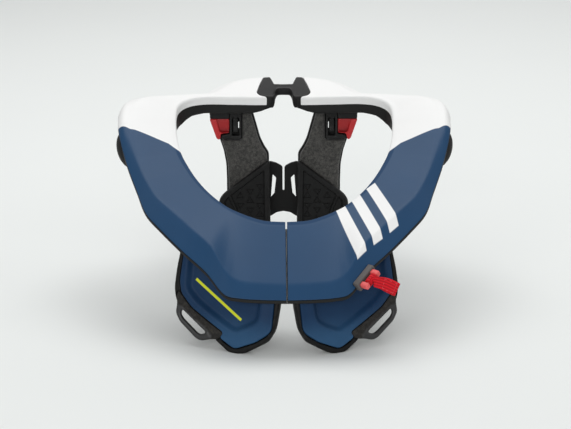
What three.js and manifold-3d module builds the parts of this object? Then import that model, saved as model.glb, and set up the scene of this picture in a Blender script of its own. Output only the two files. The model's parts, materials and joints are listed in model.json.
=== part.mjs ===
// A motorcycle rider's neck brace: a hinged collar on two chest pads and two back pads.
// Millimetres, +Z up, the wearer looks along -Y, so the wearer's left is +X.
import * as THREE from 'three';
import { mergeVertices } from 'three/addons/utils/BufferGeometryUtils.js';
import Module from 'manifold-3d';

const wasm = await Module();
wasm.setup();

// Collar, outer sizes
const NECK_HALF_WIDTH = 93;
const NECK_HALF_DEPTH = 84;
const COLLAR_HALF_WIDTH = 142.3;
const FRONT_REACH = 146;
const REAR_REACH = 150.5;
const COLLAR_HEIGHT = 161;

// Collar, walls and edges
const SHELL_WALL = 3;
const LIP_DROP = 7.5;
const LIP_ROUND = 1.5;
const STRIP_WIDTH = 5;
const CREASE_ROUND = 2.2;
const PUFF = 2.4;
const BASE_INSET = 0.6;
const BASE_BAND = 8.4;
const BASE_RIM = 6;
const BASE_CORE = 5;
const CORE_INSET = 4;
const BASE_TRIM = 3;
const TRIM_INSET = 0.4;
const SHOULDER_PAD_LENGTH = 40;
const SHOULDER_PAD_WIDTH = 18;
const SHOULDER_PAD_HEIGHT = 18;
const SHOULDER_PAD_PROUD = 2.4;

// Corner radii of the outlines
const LOBE_CORNER = 3;
const STRUT_CORNER = 3;
const WEDGE_CORNER = 1.2;
const BACK_PAD_CORNER = 4;
const POCKET_CORNER = 2;
const RIM_CORNER = 4;
const FACE_CORNER = 3;
const LOOP_CORNER = 2.5;
const SLOT_CORNER = 1.6;

// Clearances
const GAP = 0.3;
const SPLIT = 1.0;
const LINK_SPLIT = 0.3;

// Rear hinge link on top of the collar
const HINGE_Y = 114;
const LINK_HALF_WIDTH = 24;
const WAIST_DEPTH = 16;
const WAIST_THICKNESS = 6.6;
const WAIST_TOP_SHARE = 0.984;
const WAIST_SHOULDER = 5;
const NOTCH_SHARE = 0.42;
const REAR_NOTCH_SHARE = 0.64;

// Struts, back pads and link plate
const STRUT_HALF_SPAN = 66.7;
const STRUT_FRONT_Y = 103.3;
const STRUT_THICKNESS = 4;
const FELT_THICKNESS = 5;
const FELT_INSET = 1.6;
const HEAD_DEPTH = 9;
const BACK_PAD_HALF_SPAN = 58.6;
const BACK_PAD_HEIGHT = 93.6;
const BACK_PAD_THICKNESS = 5.4;
const BACK_PAD_FLOOR = 3;
const BACK_PAD_RIM = 4.2;
const LINK_PLATE_THICKNESS = 2;

// Height adjusters on the struts
const CLIP_WIDTH = 10.4;
const CLIP_HEIGHT = 24;
const CLIP_DEPTH = 7;
const CLIP_SLIT = 1;
const CLIP_SIDE = 2;
const CLIP_TONGUE_GAP = 3;
const CLIP_LOW_SHARE = 0.36;
const CLIP_HIGH_SHARE = 0.3;
const WEDGE_WIDTH = 17.6;
const WEDGE_HEIGHT = 19;
const WEDGE_DEPTH = 8.4;

// Chest pads
const CHEST_WIDTH = 88.9;
const CHEST_DROP = 46.7;
const CHEST_TURN = 22;
const CHEST_LEAN = 14;
const CHEST_INSET_X = 6;
const CHEST_INSET_Y = 5;
const CHIN_CUT = 1.4;
const RIM_BACK = 6;
const RIM_PROUD = 3;
const FACE_THICKNESS = 4.2;
const RECESS_DEPTH = 2.2;
const LOOP_THICKNESS = 3.6;

// Opening latch on the wearer's left wing
const LATCH_ROW_START = 3.4;
const LATCH_ROW_END = 4.2;
const LATCH_WIDTH = 6;
const LATCH_HEIGHT = 8;
const LATCH_PROUD = 0.5;
const LUG_WIDTH = 4.4;
const LUG_HEIGHT = 4.8;
const LUG_REACH = 6.5;
const LUG_GRIP = 0.6;
const LATCH_TRAVEL = 4;
const PIN_RADIUS = 1.3;
const TAB_WIDTH = 9;
const TAB_THICKNESS = 2.6;
const TAB_LENGTH = 21;
const TAB_EYE_WALL = 1.7;
// The tab's section, shares of its half width and half thickness.
const TAB_SECTION = [
  [-1, -0.5], [-0.9, -1], [0.9, -1], [1, -0.5], [1, 0.5], [0.9, 1], [-0.9, 1], [-1, 0.5],
];

// Sections round one half of the collar, from the front split to the rear link.
// neck: plan place and top height of the inner lip; edge: lower outer edge;
// crease: its share of the way out and its height; band: depth of the base
// below the lip; puff: how full the outer side is. Plan columns are shares of
// NECK_HALF_WIDTH, NECK_HALF_DEPTH, COLLAR_HALF_WIDTH and the two reaches,
// heights are shares of COLLAR_HEIGHT, band of BASE_BAND, puff of PUFF.
const SECTION_COLUMNS = ['neckX', 'neckY', 'lipZ', 'edgeX', 'edgeY', 'edgeZ',
  'creaseAt', 'creaseZ', 'band', 'puff'];
const SECTIONS = [
  [0.000, -1.000, 0.566, 0.000, -1.000, 0.280, 0.855, 0.342, 0.60, 0.0],
  [0.186, -0.982, 0.570, 0.134, -1.000, 0.283, 0.855, 0.348, 0.60, 0.0],
  [0.323, -0.914, 0.583, 0.260, -0.995, 0.290, 0.860, 0.358, 0.60, 0.0],
  [0.414, -0.845, 0.593, 0.334, -0.979, 0.301, 0.860, 0.394, 0.60, 0.0],
  [0.492, -0.774, 0.603, 0.442, -0.884, 0.388, 0.800, 0.501, 0.60, 0.0],
  [0.591, -0.655, 0.624, 0.583, -0.760, 0.466, 0.760, 0.564, 0.60, 0.0],
  [0.699, -0.500, 0.656, 0.705, -0.637, 0.537, 0.770, 0.624, 0.60, 0.0],
  [0.790, -0.333, 0.691, 0.791, -0.521, 0.586, 0.780, 0.660, 0.60, 0.0],
  [0.871, -0.143, 0.732, 0.856, -0.324, 0.651, 0.819, 0.707, 0.65, 0.0],
  [0.935, 0.036, 0.773, 0.920, -0.140, 0.732, 0.820, 0.781, 0.70, 0.1],
  [0.978, 0.238, 0.826, 0.958, -0.021, 0.793, 0.800, 0.840, 0.85, 0.3],
  [0.995, 0.405, 0.873, 0.983, 0.073, 0.845, 0.810, 0.888, 1.00, 0.6],
  [1.000, 0.500, 0.901, 1.000, 0.179, 0.885, 0.800, 0.938, 1.25, 0.9],
  [1.000, 0.607, 0.922, 1.000, 0.306, 0.907, 0.780, 0.991, 1.50, 1.0],
  [0.989, 0.714, 0.937, 0.949, 0.419, 0.910, 0.745, 0.994, 1.67, 1.0],
  [0.946, 0.827, 0.950, 0.854, 0.535, 0.907, 0.745, 0.974, 1.60, 1.0],
  [0.860, 0.920, 0.958, 0.717, 0.611, 0.901, 0.727, 0.958, 1.15, 1.0],
  [0.742, 0.964, 0.961, 0.590, 0.658, 0.898, 0.700, 0.952, 1.00, 1.0],
  [0.618, 0.976, 0.960, 0.513, 0.731, 0.896, 0.680, 0.947, 1.00, 1.0],
  [0.505, 0.976, 0.958, 0.453, 0.804, 0.904, 0.743, 0.961, 1.00, 1.0],
  [0.409, 0.980, 0.957, 0.383, 0.894, 0.913, 0.790, 0.975, 1.00, 0.9],
  [0.312, 0.983, 0.955, 0.306, 0.953, 0.919, 0.830, 0.984, 1.00, 0.7],
  [0.215, 0.988, 0.954, 0.216, 0.987, 0.925, 0.840, 0.989, 0.75, 0.6],
  [0.118, 1.000, 0.953, 0.102, 1.000, 0.929, 0.842, 0.992, 0.35, 0.5],
  [0.000, 1.003, 0.952, 0.000, 1.002, 0.929, 0.842, 0.993, 0.30, 0.5],
];
const SHOULDER_ROW = 10.5;
const LINK_FIRST_ROW = 20;
const RING_PITCH = 13;

// Plan outline of one link lobe, shares of LINK_HALF_WIDTH across, and along
// the depth from the neck side (0) to the rear edge (1).
const LOBE_OUTLINE = [
  [0.34, -0.12], [0.52, -0.12], [0.58, 0.00], [0.86, 0.035], [1.00, 0.15],
  [0.88, 0.48], [0.74, 0.80], [0.82, 1.10], [0.62, 1.10], [0.50, 0.84],
  [0.38, 0.60], [0.30, 0.46], [0.30, 0.16],
];

// Strut outline, shares of STRUT_HALF_SPAN across and COLLAR_HEIGHT up.
const STRUT_OUTLINE = [
  [0.474, 0.938], [0.409, 0.835], [0.312, 0.689], [0.259, 0.643], [0.196, 0.604],
  [0.196, 0.373], [0.240, 0.248], [0.750, 0.248], [0.769, 0.394], [0.768, 0.450],
  [0.775, 0.543], [0.808, 0.621], [0.870, 0.699], [1.000, 0.829], [1.000, 0.938],
];
const FELT_FOOT = 0.373;
const FELT_NOTCH = [0.555, 0.684];
const CLIP_AT = [0.644, 0.767];
const HEAD_FOOT = 0.812;
const HEAD_TOP = 0.93;

// Back pad outline, shares of BACK_PAD_HALF_SPAN across and BACK_PAD_HEIGHT up.
const BACK_PAD_OUTLINE = [
  [0.217, 1.000], [0.930, 0.655], [1.000, 0.590], [0.970, 0.320], [0.853, 0.000],
  [0.195, 0.000],
];
const BACK_PAD_RIB = [[0.834, 0.640], [0.744, 0.504], [0.690, 0.300]];
const BACK_PAD_RIB_WIDTH = 2.4;

// Link plate between the back pads: one half, shares of LINK_PLATE_REACH across
// and BACK_PAD_HEIGHT up.
const LINK_PLATE_REACH = 30;
const LINK_PLATE_SLOT = 1.6;
const LINK_PLATE_OUTLINE = [
  [1.00, 0.900], [0.39, 0.941], [0.223, 0.926], [0.07, 0.899],
];
const LINK_PLATE_SLOT_FOOT = 0.640;
const LINK_PLATE_ARCH = [[0, 0.437], [0.20, 0.425], [0.397, 0.385], [1.0, 0.385]];
const LINK_PLATE_WINDOW = [[0.327, 0.809], [0.223, 0.775], [0.277, 0.619], [0.38, 0.580]];

// Height at which the chest pads end inside the collar, a share of COLLAR_HEIGHT.
const CHEST_RISE = 0.586;

// Chest pad outlines in the plane of the pad, shares of CHEST_WIDTH across
// (0 is beside the centre line) and CHEST_DROP up; the top runs up behind the
// wing and is trimmed by the collar.
const CHEST_RIM_OUTLINE = [
  [0.800, 1.113], [0.974, 0.640], [0.974, 0.582], [0.991, 0.349], [1.000, 0.002], [0.982, -0.165],
  [0.957, -0.289], [0.428, -0.987], [0.343, -1.000], [0.278, -0.966], [0.073, -0.728],
  [0.013, -0.503], [-0.007, -0.101], [0.000, 1.113],
];
const CHEST_FACE_OUTLINE = [
  [0.760, 1.113], [0.930, 0.620], [0.948, 0.135], [0.922, -0.086], [0.812, -0.306],
  [0.633, -0.507], [0.488, -0.662], [0.522, -0.758], [0.388, -0.897], [0.349, -0.897],
  [0.171, -0.747], [0.063, -0.591], [0.038, -0.499], [0.034, -0.120], [0.034, 1.113],
];
const CHEST_RECESS_OUTLINE = [
  [0.720, 1.113], [0.891, 0.560], [0.891, -0.009], [0.776, -0.227], [0.524, -0.514], [0.442, -0.600],
  [0.370, -0.651], [0.213, -0.507], [0.150, -0.388], [0.143, -0.146], [0.143, 1.113],
];
const LOOP_OUTLINE = [
  [0.952, -0.040], [0.933, -0.096], [0.819, -0.318], [0.640, -0.521], [0.488, -0.676],
  [0.522, -0.772], [0.560, -0.800], [0.619, -0.810], [0.695, -0.854], [0.747, -0.831],
  [0.918, -0.576], [0.965, -0.430], [0.958, -0.270], [0.975, -0.160],
];
const LOOP_SLOT = [
  [0.904, -0.362], [0.913, -0.435], [0.889, -0.505], [0.742, -0.720], [0.706, -0.747],
  [0.667, -0.719], [0.666, -0.690], [0.810, -0.490],
];

const rad = THREE.MathUtils.degToRad;

// Geometry and solids

function solidOf(geometry) {
  const bare = new THREE.BufferGeometry();
  bare.setAttribute('position', geometry.attributes.position.clone());
  if (geometry.index) bare.setIndex(geometry.index.clone());
  const merged = mergeVertices(bare, 1e-4);
  return new wasm.Manifold(new wasm.Mesh({
    numProp: 3,
    vertProperties: new Float32Array(merged.attributes.position.array),
    triVerts: new Uint32Array(merged.index.array),
  }));
}

function geometryOf(solid) {
  const mesh = solid.getMesh();
  const geometry = new THREE.BufferGeometry();
  geometry.setAttribute('position', new THREE.BufferAttribute(mesh.vertProperties, 3));
  geometry.setIndex(new THREE.BufferAttribute(mesh.triVerts, 1));
  geometry.computeVertexNormals();
  return geometry;
}

// Triangles of a flat outline, turned the way the outline runs.
function capTriangles(points) {
  const triangles = THREE.ShapeUtils.triangulateShape(points, []);
  const area = triangles.reduce(
    (sum, corners) => sum + THREE.ShapeUtils.area(corners.map((i) => points[i])), 0);
  const same = Math.sign(area) === Math.sign(THREE.ShapeUtils.area(points));
  return same ? triangles : triangles.map(([a, b, c]) => [a, c, b]);
}

// Closed body through rings of equal length, each a list of Vector3, with the
// flat caps cut up from the ring's own section points.
function loft(rings, capPoints) {
  const count = rings[0].length;
  const positions = rings.flat().flatMap((p) => [p.x, p.y, p.z]);
  const index = [];
  for (let i = 0; i + 1 < rings.length; i += 1) {
    for (let j = 0; j < count; j += 1) {
      const a = i * count + j;
      const b = i * count + (j + 1) % count;
      index.push(a, b, b + count, a, b + count, a + count);
    }
  }
  const last = (rings.length - 1) * count;
  for (const [a, b, c] of capTriangles(capPoints[0])) index.push(a, c, b);
  for (const [a, b, c] of capTriangles(capPoints[1])) index.push(last + a, last + b, last + c);
  const geometry = new THREE.BufferGeometry();
  geometry.setAttribute('position', new THREE.Float32BufferAttribute(positions, 3));
  geometry.setIndex(index);
  const solid = solidOf(geometry);
  if (solid.volume() > 0) return solid;
  for (let i = 0; i < index.length; i += 3) {
    [index[i], index[i + 1]] = [index[i + 1], index[i]];
  }
  geometry.setIndex(index);
  return solidOf(geometry);
}

function shapeOf(points) {
  return new THREE.Shape(points.map(([x, y]) => new THREE.Vector2(x, y)));
}

function scaled(points, width, height) {
  return points.map(([x, y]) => [x * width, y * height]);
}

// Outline with its corners rounded by short curves.
function rounded(points, radius, steps = 3) {
  const out = [];
  points.forEach(([x, y], i) => {
    const here = new THREE.Vector2(x, y);
    const before = new THREE.Vector2(...points[(i + points.length - 1) % points.length]);
    const after = new THREE.Vector2(...points[(i + 1) % points.length]);
    const cutIn = Math.min(radius, here.distanceTo(before) * 0.45);
    const cutOut = Math.min(radius, here.distanceTo(after) * 0.45);
    const start = here.clone().lerp(before, cutIn / here.distanceTo(before));
    const end = here.clone().lerp(after, cutOut / here.distanceTo(after));
    const arc = new THREE.QuadraticBezierCurve(start, here, end);
    arc.getPoints(steps).forEach((p) => out.push([p.x, p.y]));
  });
  return out;
}

// Outline moved outwards, or inwards by a negative distance.
function offset(points, distance) {
  const turn = Math.sign(THREE.ShapeUtils.area(points.map(([x, y]) => new THREE.Vector2(x, y))));
  return points.map(([x, y], i) => {
    const before = points[(i + points.length - 1) % points.length];
    const after = points[(i + 1) % points.length];
    const normalIn = sideways([x - before[0], y - before[1]]);
    const normalOut = sideways([after[0] - x, after[1] - y]);
    const [dx, dy] = mitre(normalIn, normalOut);
    return [x + dx * distance * turn, y + dy * distance * turn];
  });
}

function sideways([dx, dy]) {
  const length = Math.hypot(dx, dy);
  return [dy / length, -dx / length];
}

const MITRE_LIMIT = 0.35;

function mitre(a, b) {
  const sum = [a[0] + b[0], a[1] + b[1]];
  const length = Math.hypot(...sum);
  const unit = [sum[0] / length, sum[1] / length];
  const stretch = Math.max(MITRE_LIMIT, unit[0] * a[0] + unit[1] * a[1]);
  return [unit[0] / stretch, unit[1] / stretch];
}

function plateXY(points, z0, z1, holes = []) {
  const shape = shapeOf(points);
  shape.holes = holes.map((hole) => shapeOf(hole));
  const plate = new THREE.ExtrudeGeometry(shape, { depth: z1 - z0, bevelEnabled: false });
  plate.translate(0, 0, z0);
  return solidOf(plate);
}

// Upright plate: outline in X and Z, from y0 (front) to y1 (rear).
function plateXZ(points, y0, y1, holes = []) {
  const shape = shapeOf(points);
  shape.holes = holes.map((hole) => shapeOf(hole));
  const plate = new THREE.ExtrudeGeometry(shape, { depth: y1 - y0, bevelEnabled: false });
  plate.rotateX(Math.PI / 2);
  plate.translate(0, y1, 0);
  return solidOf(plate);
}

function rectangle(x0, x1, y0, y1) {
  return [[x0, y0], [x1, y0], [x1, y1], [x0, y1]];
}

// Collar sections

const columns = SECTIONS.map((row) => Object.fromEntries(
  SECTION_COLUMNS.map((name, i) => [name, row[i]])));

const halfSplit = SPLIT / 2;

function across(share, halfWidth) {
  return halfSplit + share * (halfWidth - halfSplit);
}

const neckCurve = new THREE.CatmullRomCurve3(columns.map((c) => new THREE.Vector3(
  across(c.neckX, NECK_HALF_WIDTH), c.neckY * NECK_HALF_DEPTH, c.lipZ * COLLAR_HEIGHT)));
const edgeCurve = new THREE.CatmullRomCurve3(columns.map((c) => new THREE.Vector3(
  across(c.edgeX, COLLAR_HALF_WIDTH),
  c.edgeY * (c.edgeY < 0 ? FRONT_REACH : REAR_REACH),
  c.edgeZ * COLLAR_HEIGHT)));
const creaseCurve = new THREE.CatmullRomCurve3(columns.map((c) => new THREE.Vector3(
  c.creaseAt, 0, c.creaseZ * COLLAR_HEIGHT)), false, 'catmullrom', 0.5);

function blend(row, column) {
  const first = Math.min(Math.floor(row), columns.length - 2);
  return THREE.MathUtils.lerp(columns[first][column], columns[first + 1][column], row - first);
}

// One upright section: its foot on the neck side, its outward direction in plan
// and its outline in (outward, height) pairs.
function section(row) {
  const t = row / (columns.length - 1);
  const neck = neckCurve.getPoint(t);
  const edge = edgeCurve.getPoint(t);
  const crease = creaseCurve.getPoint(t);
  const out = new THREE.Vector3(edge.x - neck.x, edge.y - neck.y, 0);
  const reach = out.length();
  out.normalize();
  const creaseS = crease.x * reach;
  const slope = (crease.z - neck.z) / creaseS;
  const side = Math.atan2(crease.z - edge.z, reach - creaseS);
  const puff = PUFF * blend(row, 'puff');
  const stripZ = neck.z + slope * STRIP_WIDTH * 0.45;
  const facet = (crease.z - stripZ) / (creaseS - STRIP_WIDTH);
  const top = [
    [0, neck.z - LIP_DROP],
    [-0.2, neck.z - LIP_DROP * 0.4],
    [LIP_ROUND, neck.z - 0.2],
    [STRIP_WIDTH, stripZ],
    [(STRIP_WIDTH + creaseS) / 2, (stripZ + crease.z) / 2 + puff * 0.5],
    [creaseS - CREASE_ROUND, crease.z - facet * CREASE_ROUND],
    [creaseS + CREASE_ROUND * Math.cos(side), crease.z - CREASE_ROUND * Math.sin(side) * 0.9],
    [(creaseS + reach) / 2 + puff * Math.sin(side), (crease.z + edge.z) / 2 + puff * Math.cos(side)],
    [reach, edge.z],
  ];
  return { neck, out, reach, creaseS, edgeZ: edge.z, band: BASE_BAND * blend(row, 'band'), top };
}

// The section's top line moved inwards by a depth.
function inner(top, depth) {
  const line = top.map(([s, z], i) => {
    const before = top[Math.max(i - 1, 0)];
    const after = top[Math.min(i + 1, top.length - 1)];
    const normalIn = i > 0 ? sideways([s - before[0], z - before[1]])
      : sideways([after[0] - s, after[1] - z]);
    const normalOut = i < top.length - 1 ? sideways([after[0] - s, after[1] - z]) : normalIn;
    const [ds, dz] = mitre(normalIn, normalOut);
    return [s + ds * depth, z + dz * depth];
  });
  const [foot, next] = [top[top.length - 1], top[top.length - 2]];
  const steep = Math.abs(foot[1] - next[1]) / Math.hypot(foot[0] - next[0], foot[1] - next[1]);
  const [strip, facet] = [line[3], line[4]];
  const slope = (facet[1] - strip[1]) / (facet[0] - strip[0]);
  const corner = (s) => [s, facet[1] - slope * (facet[0] - s)];
  line[3] = corner(Math.max(strip[0], depth + LIP_ROUND));
  line[2] = corner(depth + LIP_ROUND * 0.3);
  line[1] = [depth, line[2][1] - LIP_ROUND * 0.4];
  line[0] = [depth, top[0][1]];
  line[line.length - 1] = [foot[0] - depth / Math.max(steep, 0.5), foot[1]];
  return line;
}

function heightAt(line, s) {
  const i = line.findIndex((point, k) => k > 1 && point[0] >= s);
  const [a, b] = [line[i - 1], line[i]];
  return THREE.MathUtils.lerp(a[1], b[1], (s - a[0]) / (b[0] - a[0]));
}

function shellOutline({ top }) {
  return [...top, ...inner(top, SHELL_WALL).reverse()];
}

// Underside of the base, from the outer trim back to the neck side.
function baseUnderside({ top, reach, creaseS, edgeZ, band }) {
  const roof = inner(top, SHELL_WALL + GAP);
  const first = Math.min(BASE_RIM * 1.5, reach * 0.38);
  const last = Math.max(reach * 0.55, creaseS - CORE_INSET);
  const middle = (first + last) / 2;
  const bottom = top[0][1] - band;
  const core = (s) => [s, heightAt(roof, s) - BASE_CORE];
  return [
    [reach - TRIM_INSET, edgeZ - BASE_TRIM],
    [reach - BASE_RIM, edgeZ - BASE_TRIM],
    core(last),
    core(middle),
    core(first),
    [BASE_RIM * 0.9, bottom],
    [BASE_INSET, bottom],
  ];
}

// Run the same way round as the shell's inner face, so that their facets match.
function baseOutline(cut) {
  const roof = inner(cut.top, SHELL_WALL + GAP);
  const lip = cut.top[0][1] - GAP;
  roof[0] = [roof[0][0], lip];
  roof[roof.length - 1] = [roof[roof.length - 1][0], cut.edgeZ - GAP];
  const outline = [[BASE_INSET, lip], ...roof, [cut.reach - TRIM_INSET, cut.edgeZ - GAP],
    ...baseUnderside(cut)];
  return outline.reverse();
}

function fullOutline(cut) {
  return [...cut.top, ...baseUnderside(cut)];
}

// Everything above the base's underside, with a clearance all round.
function shadowOutline(cut) {
  const under = baseUnderside(cut).map(([s, z]) => [s, z - GAP]);
  under[0][0] = cut.reach + GAP;
  under[1][0] -= GAP;
  under[under.length - 2][0] += GAP;
  under[under.length - 1][0] -= GAP;
  const ceiling = COLLAR_HEIGHT * 1.3;
  const outline = [[under[under.length - 1][0], ceiling], [cut.reach + GAP, ceiling], ...under];
  return outline.reverse();
}

function ringRows(first, last) {
  const rows = [first];
  for (let i = first; i < last; i += 1) {
    const span = edgeCurve.getPoint(i / (columns.length - 1))
      .distanceTo(edgeCurve.getPoint((i + 1) / (columns.length - 1)));
    const steps = Math.max(1, Math.round(span / RING_PITCH));
    for (let k = 1; k <= steps; k += 1) rows.push(i + k / steps);
  }
  return rows;
}

function sweep(outlineOf, first = 0, last = columns.length - 1) {
  const cuts = ringRows(first, last).map((row) => section(row));
  const outlines = cuts.map((cut) => outlineOf(cut));
  const rings = cuts.map((cut, i) => outlines[i].map(([s, z]) => new THREE.Vector3(
    cut.neck.x + cut.out.x * s, cut.neck.y + cut.out.y * s, z)));
  const caps = [outlines[0], outlines[outlines.length - 1]].map(
    (outline) => outline.map(([s, z]) => new THREE.Vector2(s, z)));
  return loft(rings, caps);
}

const shadow = sweep(shadowOutline);

// Rear link

function lobeOutline(clearance) {
  const depth = REAR_REACH - NECK_HALF_DEPTH;
  const points = LOBE_OUTLINE.map(([x, y]) => [
    x * LINK_HALF_WIDTH, NECK_HALF_DEPTH + y * depth]);
  return offset(rounded(points, LOBE_CORNER, 2), clearance);
}

const lobeFloor = COLLAR_HEIGHT * 0.7;
const lobeCeiling = COLLAR_HEIGHT * 1.2;
const waistTop = COLLAR_HEIGHT * WAIST_TOP_SHARE;
// What the shell and base leave free for the lobe and the hinge behind it.
const lobeCut = plateXY(lobeOutline(GAP), lobeFloor, lobeCeiling)
  .add(plateXY(rectangle(-1, LINK_HALF_WIDTH * NOTCH_SHARE, NECK_HALF_DEPTH * 0.8, HINGE_Y),
    lobeFloor, lobeCeiling))
  .add(plateXY(rectangle(-1, LINK_HALF_WIDTH * REAR_NOTCH_SHARE, HINGE_Y, REAR_REACH * 1.1),
    lobeFloor, lobeCeiling));

function makeLinkLobe() {
  const lobe = sweep(fullOutline, LINK_FIRST_ROW)
    .intersect(plateXY(lobeOutline(0), lobeFloor, lobeCeiling));
  const rear = HINGE_Y - 0.6;
  const front = rear - WAIST_DEPTH;
  const half = LINK_SPLIT / 2;
  const [neckIn, flare, root] = [0.2, 0.36, 0.5].map((share) => share * LINK_HALF_WIDTH);
  const wide = front - WAIST_SHOULDER;
  const back = rear + WAIST_SHOULDER * 0.6;
  const waist = plateXY([
    [half, front], [neckIn, front - 1], [flare, wide], [root, wide],
    [root, back], [flare, back], [neckIn, rear], [half, rear],
  ], waistTop - WAIST_THICKNESS, waistTop);
  return lobe.add(waist);
}

// Collar pieces

function makeLatchBlock(clearance) {
  const { centre, along, outward, up, length } = latchFrame();
  const block = new THREE.BoxGeometry(length + 2 * clearance,
    LATCH_WIDTH + 2 * clearance, LATCH_HEIGHT + 2 * clearance);
  block.applyMatrix4(new THREE.Matrix4().makeBasis(along, outward, up).setPosition(centre));
  return solidOf(block);
}

// The latch lies along the wing's lower edge: its centre and its own axes.
function latchFrame() {
  const start = edgeCurve.getPoint(LATCH_ROW_START / (columns.length - 1));
  const end = edgeCurve.getPoint(LATCH_ROW_END / (columns.length - 1));
  const along = start.clone().sub(end).normalize();
  const level = new THREE.Vector3(-along.y, along.x, 0).normalize();
  const up = new THREE.Vector3().crossVectors(along, level).normalize();
  const outward = new THREE.Vector3().crossVectors(up, along).normalize();
  const centre = start.clone().add(end).multiplyScalar(0.5)
    .addScaledVector(outward, LATCH_PROUD);
  return { centre, along, outward, up, length: start.distanceTo(end) };
}

function makeShoulderPad() {
  const here = edgeCurve.getPoint(SHOULDER_ROW / (columns.length - 1));
  const along = edgeCurve.getTangent(SHOULDER_ROW / (columns.length - 1));
  const pod = new THREE.SphereGeometry(0.5, 14, 9);
  pod.scale(SHOULDER_PAD_WIDTH, SHOULDER_PAD_LENGTH, SHOULDER_PAD_HEIGHT);
  const axisX = new THREE.Vector3(along.y, -along.x, 0).normalize();
  const axisZ = new THREE.Vector3().crossVectors(axisX, along).normalize();
  const frame = new THREE.Matrix4().makeBasis(axisX, along, axisZ);
  frame.setPosition(here.clone()
    .addScaledVector(axisX, SHOULDER_PAD_PROUD - SHOULDER_PAD_WIDTH / 2)
    .addScaledVector(axisZ, -SHOULDER_PAD_HEIGHT * 0.4));
  pod.applyMatrix4(frame);
  return solidOf(pod).subtract(shadow);
}

// Struts, back pads and link plate

const strutPoints = scaled(STRUT_OUTLINE, STRUT_HALF_SPAN, COLLAR_HEIGHT);
const clipX = CLIP_AT[0] * STRUT_HALF_SPAN;
const clipZ = CLIP_AT[1] * COLLAR_HEIGHT;
const clipLow = clipZ - CLIP_HEIGHT * CLIP_LOW_SHARE;
const clipHigh = clipZ + CLIP_HEIGHT * CLIP_HIGH_SHARE;
const headTop = HEAD_TOP * COLLAR_HEIGHT;
const feltBack = STRUT_FRONT_Y - GAP;
const feltFront = feltBack - FELT_THICKNESS;
const padBack = feltFront - GAP;

function clipWindow() {
  const half = CLIP_WIDTH / 2 - CLIP_SIDE;
  return rectangle(clipX - half, clipX + half, clipLow, clipHigh);
}

function makeStrut() {
  const blade = plateXZ(rounded(strutPoints, STRUT_CORNER, 2), STRUT_FRONT_Y,
    STRUT_FRONT_Y + STRUT_THICKNESS, [clipWindow()]);
  const head = plateXZ(rectangle(clipX + CLIP_WIDTH / 2 + GAP, STRUT_HALF_SPAN * 0.985,
    HEAD_FOOT * COLLAR_HEIGHT, headTop),
  STRUT_FRONT_Y - HEAD_DEPTH, STRUT_FRONT_Y + STRUT_THICKNESS / 2);
  return blade.add(head).subtract(shadow);
}

function makeStrutPad() {
  const outline = rounded(offset(strutPoints, -FELT_INSET), STRUT_CORNER, 2);
  const felt = plateXZ(outline, feltFront, feltBack);
  const far = STRUT_HALF_SPAN * 2;
  const notch = plateXZ(rectangle(FELT_NOTCH[0] * STRUT_HALF_SPAN, far,
    FELT_NOTCH[1] * COLLAR_HEIGHT, far * 2), feltFront - 1, feltBack + 1);
  const below = plateXZ(rectangle(-far, far, -far, FELT_FOOT * COLLAR_HEIGHT),
    feltFront - 1, feltBack + 1);
  return felt.subtract(notch).subtract(below).subtract(shadow);
}

function makeAdjusterClip() {
  const [x0, x1] = [clipX - CLIP_WIDTH / 2, clipX + CLIP_WIDTH / 2];
  const [left, right] = [x0 + CLIP_SIDE, x1 - CLIP_SIDE];
  const tongueFoot = clipLow + CLIP_TONGUE_GAP;
  const slit = [
    [left, clipHigh], [left, clipLow], [right, clipLow], [right, clipHigh],
    [right - CLIP_SLIT, clipHigh], [right - CLIP_SLIT, tongueFoot],
    [left + CLIP_SLIT, tongueFoot], [left + CLIP_SLIT, clipHigh],
  ];
  const back = STRUT_FRONT_Y - GAP;
  const outline = rectangle(x0, x1, clipZ - CLIP_HEIGHT / 2, headTop);
  return plateXZ(outline, back - CLIP_DEPTH, back, [slit]).subtract(shadow);
}

function makeAdjusterWedge() {
  const x0 = clipX + CLIP_WIDTH / 2 + GAP;
  const top = HEAD_FOOT * COLLAR_HEIGHT - GAP;
  const outline = [
    [x0, top], [x0, top - WEDGE_HEIGHT * 0.42], [x0 + WEDGE_WIDTH * 0.18, top - WEDGE_HEIGHT],
    [x0 + WEDGE_WIDTH * 0.62, top - WEDGE_HEIGHT * 0.87], [x0 + WEDGE_WIDTH, top],
  ];
  const back = STRUT_FRONT_Y - GAP;
  return plateXZ(rounded(outline, WEDGE_CORNER, 2), back - WEDGE_DEPTH, back);
}

const backPadPoints = scaled(BACK_PAD_OUTLINE, BACK_PAD_HALF_SPAN, BACK_PAD_HEIGHT);

function makeBackPad() {
  const front = padBack - BACK_PAD_THICKNESS;
  const outline = rounded(backPadPoints, BACK_PAD_CORNER, 2);
  const slab = plateXZ(outline, front, padBack);
  const pocket = plateXZ(rounded(offset(backPadPoints, -BACK_PAD_RIM), POCKET_CORNER, 2),
    front - 1, padBack - BACK_PAD_FLOOR);
  const line = scaled(BACK_PAD_RIB, BACK_PAD_HALF_SPAN, BACK_PAD_HEIGHT);
  const half = BACK_PAD_RIB_WIDTH / 2;
  const ribOutline = [...line.map(([x, z]) => [x - half, z]),
    ...[...line].reverse().map(([x, z]) => [x + half, z])];
  const rib = plateXZ(ribOutline, front + 0.5, padBack - BACK_PAD_FLOOR / 2).intersect(slab);
  return slab.subtract(pocket).add(rib);
}

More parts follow.
